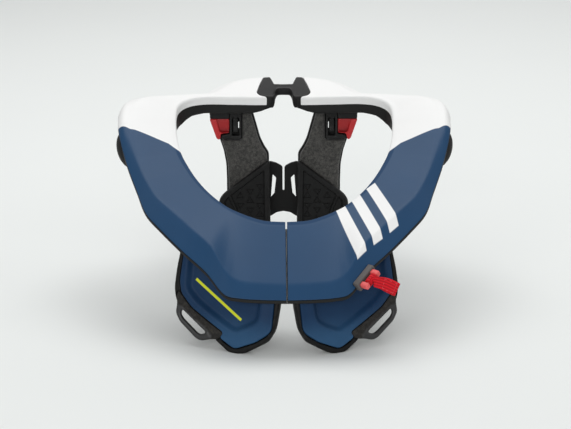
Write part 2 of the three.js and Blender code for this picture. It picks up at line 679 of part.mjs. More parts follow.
function makeLinkPlate() {
  const half = LINK_SPLIT / 2;
  const place = ([x, z]) => [half + x * LINK_PLATE_REACH, z * BACK_PAD_HEIGHT];
  const slotFoot = LINK_PLATE_SLOT_FOOT * BACK_PAD_HEIGHT;
  const outline = [
    ...LINK_PLATE_OUTLINE.map(place),
    [LINK_PLATE_SLOT / 2, LINK_PLATE_OUTLINE[3][1] * BACK_PAD_HEIGHT - 1.5],
    [LINK_PLATE_SLOT / 2, slotFoot],
    [half, slotFoot],
    ...LINK_PLATE_ARCH.map(place),
  ];
  const back = STRUT_FRONT_Y + STRUT_THICKNESS + GAP + LINK_PLATE_THICKNESS;
  return plateXZ(outline, back - LINK_PLATE_THICKNESS, back, [LINK_PLATE_WINDOW.map(place)]);
}

// Chest pads: built flat in (across, up, forward) and then set in the pad's plane.

const chestPlane = new THREE.Matrix4().makeTranslation(
  CHEST_INSET_X, CHEST_INSET_Y - FRONT_REACH, 0)
  .multiply(new THREE.Matrix4().makeRotationZ(rad(CHEST_TURN)))
  .multiply(new THREE.Matrix4().makeRotationX(Math.PI / 2 - rad(CHEST_LEAN)));
const chestLift = (CHEST_DROP - CHIN_CUT) * Math.cos(rad(CHEST_LEAN));

function setInChestPlane(solid) {
  const lifted = chestPlane.clone();
  lifted.elements[14] += chestLift;
  const rows = lifted.elements;
  return solid.transform(Array.from(rows));
}

function chestOutline(points) {
  const rise = (CHEST_RISE * COLLAR_HEIGHT - chestLift) / Math.cos(rad(CHEST_LEAN));
  const tall = rise / CHEST_DROP;
  return scaled(points.map(([x, y]) => [x, y > 1 ? tall : y]), CHEST_WIDTH, CHEST_DROP);
}

const rimPoints = rounded(chestOutline(CHEST_RIM_OUTLINE), RIM_CORNER, 2);
const facePoints = rounded(chestOutline(CHEST_FACE_OUTLINE), FACE_CORNER, 2);
const recessPoints = rounded(chestOutline(CHEST_RECESS_OUTLINE), RIM_CORNER, 2);
const loopPoints = rounded(chestOutline(LOOP_OUTLINE), LOOP_CORNER, 2);
const slotPoints = rounded(chestOutline(LOOP_SLOT), SLOT_CORNER, 2);

// Cut off what reaches below the ground or up to the split between the halves.
function insideHalf(solid) {
  const far = COLLAR_HEIGHT * 4;
  const ground = new THREE.BoxGeometry(far, far, far);
  ground.translate(0, 0, -far / 2);
  const otherHalf = new THREE.BoxGeometry(far, far, far);
  otherHalf.translate(halfSplit + GAP - far / 2, 0, 0);
  return solid.subtract(solidOf(ground)).subtract(solidOf(otherHalf));
}

function makeChestRim() {
  const proud = RIM_PROUD + 1;
  const rim = plateXY(rimPoints, -RIM_BACK, RIM_PROUD)
    .subtract(plateXY(offset(facePoints, GAP), 0, proud))
    .subtract(plateXY(offset(loopPoints, GAP), 0, proud));
  return insideHalf(setInChestPlane(rim).subtract(shadow));
}

function makeChestShell() {
  const recess = new THREE.ExtrudeGeometry(shapeOf(offset(recessPoints, -RECESS_DEPTH)), {
    depth: RECESS_DEPTH,
    bevelEnabled: true,
    bevelThickness: RECESS_DEPTH,
    bevelSize: RECESS_DEPTH,
    bevelSegments: 1,
  });
  recess.translate(0, 0, FACE_THICKNESS);
  const face = plateXY(facePoints, GAP, FACE_THICKNESS).subtract(solidOf(recess));
  return setInChestPlane(face).subtract(shadow);
}

function makeStrapLoop() {
  const loop = plateXY(loopPoints, GAP, LOOP_THICKNESS, [slotPoints])
    .subtract(plateXY(offset(facePoints, GAP), 0, LOOP_THICKNESS + 1));
  return setInChestPlane(loop).subtract(shadow);
}

// Latch pieces: a housing let into the wing's edge, two lugs on a pin, a web tab.

function latchMatrix(x, y, z) {
  const { centre, along, outward, up } = latchFrame();
  return new THREE.Matrix4().makeBasis(along, outward, up)
    .setPosition(centre.clone().addScaledVector(along, x)
      .addScaledVector(outward, y).addScaledVector(up, z));
}

function latchBox(width, depth, height, x, y, z) {
  const box = new THREE.BoxGeometry(width, depth, height);
  box.applyMatrix4(latchMatrix(x, y, z));
  return solidOf(box);
}

function latchRod(radius, length, y) {
  const rod = new THREE.CylinderGeometry(radius, radius, length, 12);
  rod.rotateZ(Math.PI / 2);
  rod.applyMatrix4(latchMatrix(0, y, 0));
  return solidOf(rod);
}

const latchFace = LATCH_WIDTH / 2;
const lugInsert = LATCH_TRAVEL + LUG_GRIP;
const lugSpread = latchFrame().length / 2 - LUG_WIDTH / 2 - 2;
const pinY = latchFace + LUG_REACH * 0.58;

function makeLatchHousing() {
  let housing = makeLatchBlock(0);
  for (const side of [-1, 1]) {
    housing = housing.subtract(latchBox(LUG_WIDTH + 2 * GAP, 2 * (lugInsert + GAP),
      LUG_HEIGHT + 2 * GAP, side * lugSpread, latchFace, 0));
  }
  return housing;
}

function makeLatchSlider() {
  let slider = latchRod(PIN_RADIUS, lugSpread * 2, pinY);
  for (const side of [-1, 1]) {
    slider = slider.add(latchBox(LUG_WIDTH, LUG_REACH + lugInsert, LUG_HEIGHT,
      side * lugSpread, latchFace + (LUG_REACH - lugInsert) / 2, 0));
  }
  return slider;
}

// The web tab wraps the pin and hangs outwards, turning flat to the chest pad.
function makePullTab() {
  const wrap = lugSpread * 2 - LUG_WIDTH - 2 * GAP;
  const eye = latchRod(PIN_RADIUS + GAP + TAB_EYE_WALL, wrap, pinY);
  const { along, outward, up } = latchFrame();
  const start = new THREE.Vector3().setFromMatrixPosition(latchMatrix(0, pinY + PIN_RADIUS, 0));
  const end = start.clone().add(new THREE.Vector3(0.93, -0.12, -0.35).setLength(TAB_LENGTH));
  const path = new THREE.CatmullRomCurve3([
    start, start.clone().addScaledVector(outward, TAB_LENGTH * 0.2)
      .addScaledVector(along, TAB_LENGTH * 0.02),
    start.clone().lerp(end, 0.5).add(new THREE.Vector3(0, -1, 1)), end]);
  const steps = 8;
  const rings = [];
  for (let i = 0; i <= steps; i += 1) {
    const t = i / steps;
    const centre = path.getPoint(t);
    const forward = path.getTangent(t);
    const wide = along.clone().lerp(new THREE.Vector3(0.12, 0.3, 0.95), Math.min(1, t * 1.6));
    wide.addScaledVector(forward, -wide.dot(forward)).normalize();
    const flat = new THREE.Vector3().crossVectors(forward, wide).normalize();
    const half = THREE.MathUtils.lerp(wrap, TAB_WIDTH, Math.min(1, t * 2)) / 2;
    const thick = TAB_THICKNESS / 2;
    rings.push(TAB_SECTION.map(([a, b]) => centre.clone()
      .addScaledVector(wide, a * half).addScaledVector(flat, b * thick)));
  }
  const cap = TAB_SECTION.map(([a, b]) => new THREE.Vector2(a, b));
  return eye.add(loft(rings, [cap, cap])).subtract(latchRod(PIN_RADIUS + GAP, wrap * 2, pinY));
}

// Materials and assembly

function finish(colour, roughness, metalness = 0) {
  return () => new THREE.MeshStandardMaterial({ color: colour, roughness, metalness });
}

const FINISHES = {
  cover: finish(0x2f5079, 0.45),
  black: finish(0x1c1c1d, 0.6),
  felt: finish(0x3a3a38, 0.95),
  navy: finish(0x1c3a63, 0.5),
  red: finish(0xb3161f, 0.5),
  salmon: finish(0xe86a6c, 0.45),
  grey: finish(0x55524f, 0.55),
  webbing: finish(0xc01523, 0.85),
};

const shellSolid = sweep(shellOutline).subtract(lobeCut);
const baseSolid = sweep(baseOutline).subtract(lobeCut);

const PAIRED = [
  ['collar_shell', 'cover', (left) => (left ? shellSolid.subtract(makeLatchBlock(GAP)) : shellSolid)],
  ['collar_base', 'black', (left) => (left ? baseSolid.subtract(makeLatchBlock(GAP)) : baseSolid)],
  ['shoulder_pad', 'black', makeShoulderPad],
  ['link_lobe', 'black', makeLinkLobe],
  ['strut', 'black', makeStrut],
  ['strut_pad', 'felt', makeStrutPad],
  ['adjuster_clip', 'black', makeAdjusterClip],
  ['adjuster_wedge', 'red', makeAdjusterWedge],
  ['back_pad', 'black', makeBackPad],
  ['link_plate', 'black', makeLinkPlate],
  ['chest_rim', 'black', makeChestRim],
  ['chest_shell', 'navy', makeChestShell],
  ['strap_loop', 'black', makeStrapLoop],
];
const LATCH = [
  ['latch_housing', 'grey', makeLatchHousing],
  ['latch_slider', 'salmon', makeLatchSlider],
  ['pull_tab', 'webbing', makePullTab],
];

function piece(name, look, solid) {
  const mesh = new THREE.Mesh(geometryOf(solid), FINISHES[look]());
  mesh.name = name;
  return mesh;
}

const leftHalf = new THREE.Group();
const rightHalf = new THREE.Group();
rightHalf.scale.x = -1;
for (const [name, look, make] of PAIRED) {
  leftHalf.add(piece(`left_${name}`, look, make(true)));
  rightHalf.add(piece(`right_${name}`, look, make(false)));
}
for (const [name, look, make] of LATCH) leftHalf.add(piece(name, look, make()));

const brace = new THREE.Group();
brace.add(leftHalf, rightHalf);
const box = new THREE.Box3().setFromObject(brace);
brace.position.y = -(box.min.y + box.max.y) / 2;
brace.updateMatrixWorld(true);

export default brace;
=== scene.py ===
import json
import math

import bmesh
import bpy
import numpy as np
from mathutils import Matrix, Vector, geometry
from mathutils.bvhtree import BVHTree


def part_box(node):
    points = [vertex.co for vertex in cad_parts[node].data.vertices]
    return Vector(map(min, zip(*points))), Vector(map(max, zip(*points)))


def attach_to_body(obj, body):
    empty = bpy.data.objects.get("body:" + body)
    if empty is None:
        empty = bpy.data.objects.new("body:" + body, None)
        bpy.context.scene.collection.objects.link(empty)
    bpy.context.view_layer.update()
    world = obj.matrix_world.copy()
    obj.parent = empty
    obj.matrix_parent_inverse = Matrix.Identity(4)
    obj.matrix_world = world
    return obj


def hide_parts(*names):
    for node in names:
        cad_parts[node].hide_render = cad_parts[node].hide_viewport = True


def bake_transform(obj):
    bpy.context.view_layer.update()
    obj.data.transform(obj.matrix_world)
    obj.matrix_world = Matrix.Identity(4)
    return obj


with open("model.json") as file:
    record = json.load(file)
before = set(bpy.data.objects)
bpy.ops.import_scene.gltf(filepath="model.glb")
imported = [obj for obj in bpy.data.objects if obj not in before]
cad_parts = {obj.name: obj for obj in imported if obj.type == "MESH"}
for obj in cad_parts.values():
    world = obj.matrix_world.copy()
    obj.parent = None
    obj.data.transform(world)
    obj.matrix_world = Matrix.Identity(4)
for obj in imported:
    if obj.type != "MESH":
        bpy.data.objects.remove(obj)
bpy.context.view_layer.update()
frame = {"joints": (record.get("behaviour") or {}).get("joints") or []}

# A rider's neck brace. Shapes are worked out in millimetres and turned into
# metres when a piece is made. +X is the wearer's left, -Y the front.
MM = 0.001


def cad(node):
    low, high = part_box(node)
    return np.array(low) / MM, np.array(high) / MM


# Collar
NECK_HALF_WIDTH = 93.0
NECK_HALF_DEPTH = 84.0
COLLAR_HALF_WIDTH = float(cad("left_collar_shell")[1][0])
FRONT_REACH = 146.0
REAR_REACH = 150.5
COLLAR_HEIGHT = 161.0
SHELL_WALL = 3.0
LIP_DROP = 7.5
LIP_ROUND = 1.5
STRIP_WIDTH = 5.0
CREASE_ROUND = 2.2
SOFT_CREASE = 9.0
PUFF = 2.4
BASE_INSET = 0.6
BASE_BAND = 8.4
BASE_RIM = 6.0
BASE_CORE = 5.0
CORE_INSET = 4.0
BASE_TRIM = 3.0
TRIM_INSET = 0.4
GAP = 0.3
SPLIT = 1.0
RING_PITCH = 2.6
COVER_SPLIT = 0.7
FOAM_SPLIT = 0.08
SHOULDER_PAD_SIZE = (18.0, 40.0, 18.0)
SHOULDER_PAD_PROUD = 2.4

# The collar's own frame has its hinge axis at HINGE_Y; SHIFT brings it to the row's.
HINGE_Y = 114.0
SHIFT = frame["joints"][0]["pos_m"][1] / MM - HINGE_Y

# Rear link
LINK_HALF_WIDTH = 24.0
LINK_REAR = 148.6
NOTCH_SHARE = 0.42
REAR_NOTCH_SHARE = 0.64
WAIST_TOP = 158.4
WAIST_THICKNESS = 6.6
WAIST_DIP = 1.2
RIB_PITCH = 1.7
RIB_DEPTH = 0.22

# Struts and back pads
STRUT_HALF_SPAN = 66.7
STRUT_FRONT_Y = 103.3
STRUT_THICKNESS = 4.0
FELT_THICKNESS = 5.0
FELT_INSET = 1.6
PAD_PRESSURE = 4.0
PAD_STEPS = 12
PAD_SWELL = 0.8
FELT_FOOT = 0.373
FELT_NOTCH = (0.555, 0.684)
HEAD_DEPTH = 9.0
HEAD_FOOT = 0.812
HEAD_TOP = 0.93
CLIP_AT = (0.644, 0.767)
CLIP_WIDTH = 10.4
CLIP_HEIGHT = 24.0
CLIP_DEPTH = 7.0
CLIP_SIDE = 2.0
CLIP_SLIT = 1.0
WEDGE_WIDTH = 17.6
WEDGE_HEIGHT = 19.0
WEDGE_DEPTH = 8.4
WEDGE_STOP = (7.4, 5.2)
BACK_PAD_HALF_SPAN = 58.6
BACK_PAD_HEIGHT = 93.6
BACK_PAD_THICKNESS = 5.4
BACK_PAD_FLOOR = 2.4
BACK_PAD_RIM = 4.2
LINK_PLATE_REACH = 30.0
LINK_PLATE_THICKNESS = 2.0
LINK_PLATE_SLOT = 1.6

# Chest pads
CHEST_WIDTH = 88.9
CHEST_DROP = 46.7
CHEST_RISE = 51.9
CHEST_TURN = 22.0
CHEST_LEAN = 14.0
CHEST_INSET = (6.0, 5.0)
CHIN_CUT = 1.4
RIM_BACK = 6.0
RIM_PROUD = 3.0
FACE_EDGE = 3.4
FACE_CREST = 4.6
LEDGE_WIDTH = 7.0
RECESS_DEPTH = 3.9
RECESS_SLOPE = 5.2
LOOP_THICKNESS = 3.6
BAR_WIDTH = 6.5

# Latch
LATCH_ROWS = (3.4, 4.2)
LATCH_WIDTH = 6.0
LATCH_HEIGHT = 8.0
LATCH_PROUD = 0.5
LUG_WIDTH = 4.4
LUG_HEIGHT = 4.8
LUG_REACH = 6.5
LUG_INSERT = 4.6
PIN_RADIUS = 1.3
TAB_WIDTH = 11.0
TAB_THICKNESS = 2.6
TAB_LENGTH = 21.0

SECTION_COLUMNS = ("neckX", "neckY", "lipZ", "edgeX", "edgeY", "edgeZ", "creaseAt", "creaseZ", "band", "puff")
SECTIONS = (
    (0.000, -1.000, 0.566, 0.000, -1.000, 0.280, 0.855, 0.342, 0.60, 0.0),
    (0.186, -0.982, 0.570, 0.134, -1.000, 0.283, 0.855, 0.348, 0.60, 0.0),
    (0.323, -0.914, 0.583, 0.260, -0.995, 0.290, 0.860, 0.358, 0.60, 0.0),
    (0.414, -0.845, 0.593, 0.334, -0.979, 0.301, 0.860, 0.394, 0.60, 0.0),
    (0.492, -0.774, 0.603, 0.442, -0.884, 0.388, 0.800, 0.501, 0.60, 0.0),
    (0.591, -0.655, 0.624, 0.583, -0.760, 0.466, 0.760, 0.564, 0.60, 0.0),
    (0.699, -0.500, 0.656, 0.705, -0.637, 0.537, 0.770, 0.624, 0.60, 0.0),
    (0.790, -0.333, 0.691, 0.791, -0.521, 0.586, 0.780, 0.660, 0.60, 0.0),
    (0.871, -0.143, 0.732, 0.856, -0.324, 0.651, 0.819, 0.707, 0.65, 0.0),
    (0.935, 0.036, 0.773, 0.920, -0.140, 0.732, 0.820, 0.781, 0.70, 0.1),
    (0.978, 0.238, 0.826, 0.958, -0.021, 0.793, 0.800, 0.840, 0.85, 0.3),
    (0.995, 0.405, 0.873, 0.983, 0.073, 0.845, 0.810, 0.888, 1.00, 0.6),
    (1.000, 0.500, 0.901, 1.000, 0.179, 0.885, 0.800, 0.938, 1.25, 0.9),
    (1.000, 0.607, 0.922, 1.000, 0.306, 0.907, 0.780, 0.991, 1.50, 1.0),
    (0.989, 0.714, 0.937, 0.949, 0.419, 0.910, 0.745, 0.994, 1.67, 1.0),
    (0.946, 0.827, 0.950, 0.854, 0.535, 0.907, 0.745, 0.974, 1.60, 1.0),
    (0.860, 0.920, 0.958, 0.717, 0.611, 0.901, 0.727, 0.958, 1.15, 1.0),
    (0.742, 0.964, 0.961, 0.590, 0.658, 0.898, 0.700, 0.952, 1.00, 1.0),
    (0.618, 0.976, 0.960, 0.513, 0.731, 0.896, 0.680, 0.947, 1.00, 1.0),
    (0.505, 0.976, 0.958, 0.453, 0.804, 0.904, 0.743, 0.961, 1.00, 1.0),
    (0.409, 0.980, 0.957, 0.383, 0.894, 0.913, 0.790, 0.975, 1.00, 0.9),
    (0.312, 0.983, 0.955, 0.306, 0.953, 0.919, 0.830, 0.984, 1.00, 0.7),
    (0.215, 0.988, 0.954, 0.216, 0.987, 0.925, 0.840, 0.989, 0.75, 0.6),
    (0.118, 1.000, 0.953, 0.102, 1.000, 0.929, 0.842, 0.992, 0.35, 0.5),
    (0.000, 1.003, 0.952, 0.000, 1.002, 0.929, 0.842, 0.993, 0.30, 0.5),
)
SHOULDER_ROW = 10.5

# Outlines, as shares of the sizes above.
LOBE_OUTLINE = (
    (0.34, -0.12), (0.52, -0.12), (0.58, 0.00), (0.86, 0.035), (1.00, 0.15), (0.88, 0.48), (0.74, 0.80),
    (0.82, 1.10), (0.62, 1.10), (0.50, 0.84), (0.38, 0.60), (0.30, 0.46), (0.30, 0.16),
)
STRUT_OUTLINE = (
    (0.474, 0.938), (0.409, 0.835), (0.312, 0.689), (0.259, 0.643), (0.196, 0.604), (0.196, 0.373),
    (0.240, 0.248), (0.750, 0.248), (0.769, 0.394), (0.768, 0.450), (0.775, 0.543), (0.808, 0.621),
    (0.870, 0.699), (1.000, 0.829), (1.000, 0.938),
)
BACK_PAD_OUTLINE = (
    (0.217, 1.000), (0.930, 0.655), (1.000, 0.590), (0.970, 0.320), (0.853, 0.000), (0.195, 0.000),
)
BACK_PAD_RIB = ((0.834, 0.640), (0.744, 0.504), (0.690, 0.300))
WEDGE_OUTLINE = ((0, 0), (0, 0.66), (0.42, 0.70), (0.48, 0.97), (0.56, 1.00), (0.66, 0.93), (1, 0))
WEDGE_POCKET = ((-0.2, -0.2), (-0.2, 0.64), (0.40, 0.66), (0.52, 0.60), (0.74, -0.2))
LINK_PLATE_TOP = ((1.00, 0.900), (0.39, 0.941), (0.223, 0.926), (0.07, 0.899))
LINK_PLATE_SLOT_FOOT = 0.640
LINK_PLATE_ARCH = ((0.0, 0.437), (0.20, 0.425), (0.397, 0.385), (1.0, 0.385))
LINK_PLATE_WINDOW = ((0.327, 0.809), (0.223, 0.775), (0.277, 0.619), (0.38, 0.580))
CHEST_RIM_OUTLINE = (
    (0.800, 1.113), (0.974, 0.640), (0.974, 0.582), (0.991, 0.349), (1.000, 0.002), (0.982, -0.165),
    (0.957, -0.289), (0.428, -0.987), (0.343, -1.000), (0.278, -0.966), (0.073, -0.728),
    (0.013, -0.503), (-0.007, -0.101), (0.000, 1.113),
)
CHEST_FACE_OUTLINE = (
    (0.760, 1.113), (0.930, 0.620), (0.948, 0.135), (0.922, -0.086), (0.812, -0.306), (0.633, -0.507),
    (0.488, -0.662), (0.522, -0.758), (0.388, -0.897), (0.349, -0.897), (0.171, -0.747),
    (0.063, -0.591), (0.038, -0.499), (0.034, -0.120), (0.034, 1.113),
)
CHEST_RECESS_OUTLINE = (
    (0.720, 1.113), (0.891, 0.560), (0.891, -0.009), (0.776, -0.227), (0.524, -0.514), (0.442, -0.600),
    (0.370, -0.651), (0.213, -0.507), (0.150, -0.388), (0.143, -0.146), (0.143, 1.113),
)
LOOP_OUTLINE = (
    (0.952, -0.040), (0.933, -0.096), (0.819, -0.318), (0.640, -0.521), (0.488, -0.676),
    (0.522, -0.772), (0.560, -0.800), (0.619, -0.810), (0.695, -0.854), (0.747, -0.831),
    (0.918, -0.576), (0.965, -0.430), (0.958, -0.270), (0.975, -0.160),
)
LOOP_SLOT = (
    (0.904, -0.362), (0.913, -0.435), (0.889, -0.505), (0.742, -0.720), (0.706, -0.747),
    (0.667, -0.719), (0.666, -0.690), (0.810, -0.490),
)


# Camera, lights and floor

IMAGE = (571, 429)
CAMERA_ELEVATION = 17.0
CAMERA_AZIMUTH = -0.7
CAMERA_DISTANCE = 1500.0
CAMERA_TARGET = (0.5, SHIFT, 70.5)
PIXEL_AT_TARGET = 0.85
SENSOR_WIDTH = 36.0


def aim(thing, place, target):
    thing.location = Vector(place) * MM
    direction = Vector(target) - Vector(place)
    thing.rotation_euler = direction.to_track_quat("-Z", "Y").to_euler()


def make_camera():
    data = bpy.data.cameras.new("photo_camera")
    data.sensor_width = SENSOR_WIDTH
    data.lens = SENSOR_WIDTH * CAMERA_DISTANCE / (IMAGE[0] * PIXEL_AT_TARGET)
    camera = bpy.data.objects.new("photo_camera", data)
    bpy.context.scene.collection.objects.link(camera)
    turn, tip = math.radians(CAMERA_AZIMUTH), math.radians(CAMERA_ELEVATION)
    back = Vector((math.sin(turn) * math.cos(tip), -math.cos(turn) * math.cos(tip), math.sin(tip)))
    aim(camera, Vector(CAMERA_TARGET) + back * CAMERA_DISTANCE, CAMERA_TARGET)
    bpy.context.scene.camera = camera


def make_light(name, place, size, power, target=(0, 0, 80)):
    data = bpy.data.lights.new(name, "AREA")
    data.shape = "RECTANGLE"
    data.size, data.size_y = size[0] * MM, size[1] * MM
    data.energy = power
    light = bpy.data.objects.new(name, data)
    bpy.context.scene.collection.objects.link(light)
    aim(light, place, target)


def make_studio():
    scene = bpy.context.scene
    scene.view_settings.view_transform = "Standard"
    world = bpy.data.worlds.new("studio")
    scene.world = world
    world.use_nodes = True
    backdrop = world.node_tree.nodes["Background"]
    backdrop.inputs["Color"].default_value = (0.98, 0.99, 0.985, 1)
    backdrop.inputs["Strength"].default_value = 0.40
    make_light("key", (-500, -1900, 800), (1600, 900), 14)
    make_light("fill", (1700, -800, 900), (1200, 1200), 4)
    make_light("top", (0, 550, 1700), (1800, 1200), 20)
    make_light("back", (300, 1800, 900), (1600, 900), 3)
    data = bpy.data.meshes.new("floor")
    half = 8.0
    data.from_pydata([(-half, -half, 0), (half, -half, 0), (half, half, 0), (-half, half, 0)],
                     [], [(0, 1, 2, 3)])
    floor = bpy.data.objects.new("floor", data)
    scene.collection.objects.link(floor)
    floor.data.materials.append(floor_look())


# Materials: sums on sockets are written as sums

class Value:
    """One output of a material's nodes, which can be used in sums."""

    def __init__(self, look, socket):
        self.look, self.socket = look, socket

    def _sum(self, operation, *terms):
        return self.look.node("Math", {"operation": operation}, *terms)

    def __add__(self, other):
        return self._sum("ADD", self, other)

    def __sub__(self, other):
        return self._sum("SUBTRACT", self, other)

    def __rsub__(self, other):
        return self._sum("SUBTRACT", other, self)

    def __mul__(self, other):
        return self._sum("MULTIPLY", self, other)

    def __truediv__(self, other):
        return self._sum("DIVIDE", self, other)

    def __abs__(self):
        return self._sum("ABSOLUTE", self)

    def over(self, low):
        """How far this lies over a value, never less than none."""
        return self._sum("MAXIMUM", self - low, 0.0)

    def least(self, other):
        return self._sum("MINIMUM", self, other)

    def most(self, other):
        return self._sum("MAXIMUM", self, other)

    def wave(self, pitch):
        """From 0 to 1 and back once in every pitch."""
        return self._sum("SINE", self * (2 * math.pi / pitch)) * 0.5 + 0.5

    def step(self, edge, soft):
        """0 below the edge and 1 above it, with a soft border."""
        return self.look.node("MapRange", {"interpolation_type": "SMOOTHSTEP"}, self,
                              edge - soft, edge + soft, 0.0, 1.0)

    __radd__ = __add__
    __rmul__ = __mul__


class Look:
    """One material, with its nodes made by one method."""

    def __init__(self, name):
        self.material = bpy.data.materials.new(name)
        self.material.use_nodes = True
        self.tree = self.material.node_tree
        self.shader = self.tree.nodes["Principled BSDF"]
        self._places = None

    def node(self, kind, settings, *values, out=0):
        made = self.tree.nodes.new("ShaderNode" + kind)
        for key, setting in settings.items():
            setattr(made, key, setting)
        for socket, value in zip(made.inputs, values):
            self.put(socket, value)
        return Value(self, made.outputs[out])

    def put(self, socket, value):
        if value is None:
            return
        if isinstance(value, Value):
            self.tree.links.new(value.socket, socket)
        elif isinstance(value, tuple) and len(value) == 3 and socket.type == "RGBA":
            socket.default_value = (*value, 1)
        else:
            socket.default_value = value

    def places(self):
        """Object coordinates in millimetres."""
        if self._places is None:
            spot = self.node("TexCoord", {}, out=3)
            self._places = self.node("VectorMath", {"operation": "SCALE"}, spot)
            self._places.socket.node.inputs["Scale"].default_value = 1 / MM
        return self._places

    def apart(self, vector):
        split = self.node("SeparateXYZ", {}, vector).socket.node
        return tuple(Value(self, output) for output in split.outputs)

    def plan(self):
        """The piece's own flat coordinates in millimetres."""
        return self.node("UVMap", {"uv_map": "plan"})

    def mark(self, name):
        return self.node("Attribute", {"attribute_name": name}, out=2)

    def noise(self, vector, size, detail=3.0, rough=0.55):
        return self.node("TexNoise", {}, vector, None, 1 / size, detail, rough)

    def cells(self, vector, size):
        return self.node("TexVoronoi", {"feature": "SMOOTH_F1"}, vector, None, 1 / size)

    def mix(self, share, one, other):
        made = self.tree.nodes.new("ShaderNodeMix")
        made.data_type = "RGBA"
        for index, value in ((0, share), (6, one), (7, other)):
            self.put(made.inputs[index], value)
        return Value(self, made.outputs[2])

    def bump(self, height, depth, share=1.0):
        """Depth in millimetres."""
        made = self.tree.nodes.new("ShaderNodeBump")
        made.inputs["Strength"].default_value = share
        made.inputs["Distance"].default_value = depth * MM
        self.put(made.inputs["Height"], height)
        self.put(self.shader.inputs["Normal"], Value(self, made.outputs[0]))

    def finish(self, **values):
        names = {"colour": "Base Color", "roughness": "Roughness", "coat": "Coat Weight",
                 "coat_roughness": "Coat Roughness", "sheen": "Sheen Weight",
                 "sheen_roughness": "Sheen Roughness", "specular": "Specular IOR Level"}
        for key, value in values.items():
            self.put(self.shader.inputs[names[key]], value)
        return self.material


def floor_look():
    look = Look("studio_floor")
    grain = look.noise(look.places(), 400.0)
    return look.finish(colour=look.mix(grain, (0.80, 0.82, 0.81), (0.82, 0.84, 0.83)), roughness=0.9)


BLUE = (0.010, 0.051, 0.126)
# Darker blue for the strip along the neck edge: painted shade, where the strip's steeper angle catches none of the
# sheen.
SHADED_STRIP_BLUE = (0.004, 0.037, 0.104)
WHITE = (0.84, 0.84, 0.835)
# The paint changes along this line in plan: x, y.
PAINT_LINE = ((87.0, 3.0), (98.0, 9.8), (130.7, 15.3), (142.0, 20.0))
PAINT_SOFT = 0.35
STRIPE_AT = (66.0, -77.0)
STRIPE_TURN = 42.0
STRIPE_LEAN = 0.5
STRIPE_BANDS = ((-21.0, 10.0), (-3.0, 10.0), (15.0, 10.0))
STRIPE_REACH = (-29.0, 24.0)


def paint_look():
    look = Look("collar_paint")
    places = look.places()
    x, y, z = look.apart(places)
    outwards = abs(x)
    line = None
    slope = 0.0
    for (x0, y0), (x1, y1) in zip(PAINT_LINE, PAINT_LINE[1:]):
        steeper = (y1 - y0) / (x1 - x0) - slope
        slope += steeper
        term = outwards.over(x0) * steeper
        line = term + (PAINT_LINE[0][1] + SHIFT) if line is None else line + term
    behind = (y - line).step(0.0, PAINT_SOFT)
    stripes = wing_stripes(x, y)
    white = behind.most(stripes)
    cloud = look.noise(places, 30.0, 2.0)
    blue = look.mix(cloud, tuple(c * 0.93 for c in BLUE), tuple(c * 1.08 for c in BLUE))
    out_from_neck, _, _ = look.apart(look.plan())
    strip = 1 - out_from_neck.step(STRIP_WIDTH - 0.4, 0.5)
    # The strip by the neck is painted darker blue: painted shade.
    blue = look.mix(strip * 0.8, blue, SHADED_STRIP_BLUE)
    grain = look.noise(places, 0.55, 2.0)
    scuff = look.noise(places, 9.0, 6.0, 0.7).step(0.68, 0.05)
    look.bump(grain + white * 0.15, 0.05, 0.5)
    return look.finish(colour=look.mix(white, blue, WHITE), specular=0.24,
                       roughness=grain * 0.10 + scuff * 0.06 + strip * 0.2 + 0.40)


def wing_stripes(x, y):
    """Three slanted white bands across the front of the left wing."""
    turn = math.radians(STRIPE_TURN)
    along = (x - STRIPE_AT[0]) * math.cos(turn) + (y - STRIPE_AT[1]) * math.sin(turn)
    across = (y - STRIPE_AT[1]) * math.cos(turn) - (x - STRIPE_AT[0]) * math.sin(turn)
    slanted = along - across * STRIPE_LEAN
    bands = None
    for middle, width in STRIPE_BANDS:
        band = 1 - abs(slanted - middle).step(width / 2, PAINT_SOFT)
        bands = band if bands is None else bands.most(band)
    inside = across.step(STRIPE_REACH[0], PAINT_SOFT) * (1 - across.step(STRIPE_REACH[1], PAINT_SOFT))
    return bands * inside


def foam_look():
    look = Look("black_foam")
    places = look.places()
    pores = look.cells(places, 0.9)
    cloud = look.noise(places, 12.0, 4.0)
    look.bump(pores + cloud * 0.6, 0.16, 0.7)
    return look.finish(colour=look.mix(cloud, (0.007, 0.007, 0.007), (0.013, 0.013, 0.012)),
                       roughness=cloud * 0.14 + 0.50, specular=0.25)


def moulding_look(name, colour, rough=0.42, grain_depth=0.05):
    """Moulded plastic with a fine spark-eroded grain and paler, worn edges."""
    look = Look(name)
    places = look.places()
    grain = look.noise(places, 0.45, 2.0)
    cloud = look.noise(places, 16.0, 4.0)
    worn = look.mark("edge") * look.noise(places, 5.0, 5.0).step(0.5, 0.12)
    pale = tuple(min(1.0, c * 1.5 + 0.012) for c in colour)
    tinted = look.mix(cloud, tuple(c * 0.88 for c in colour), tuple(c * 1.12 for c in colour))
    look.bump(grain, grain_depth, 0.6)
    return look.finish(colour=look.mix(worn * 0.5, tinted, pale), roughness=grain * 0.12 + cloud * 0.06 + rough,
                       specular=0.22)


def felt_look():
    look = Look("dark_felt")
    places = look.places()
    mottle = look.noise(places, 2.6, 6.0, 0.7)
    fibre = look.noise(places, 0.7, 6.0, 0.8)
    tone = (mottle * 0.5 + fibre * 0.65).step(0.58, 0.12)
    look.bump(fibre + mottle * 0.5, 0.30, 0.8)
    return look.finish(colour=look.mix(tone, (0.014, 0.014, 0.013), (0.092, 0.088, 0.081)), roughness=0.95,
                       sheen=0.25, sheen_roughness=0.6)


NAVY = (0.006, 0.026, 0.072)
# A paler navy for the low part of each chest pad: painted light, where the collar above shades the pad less.
LIT_NAVY = (0.030, 0.092, 0.190)
YELLOW = (0.66, 0.70, 0.030)
STRIPE_FROM = (71.1, 8.3)
STRIPE_TO = (30.1, -19.5)
STRIPE_HALF = 1.1


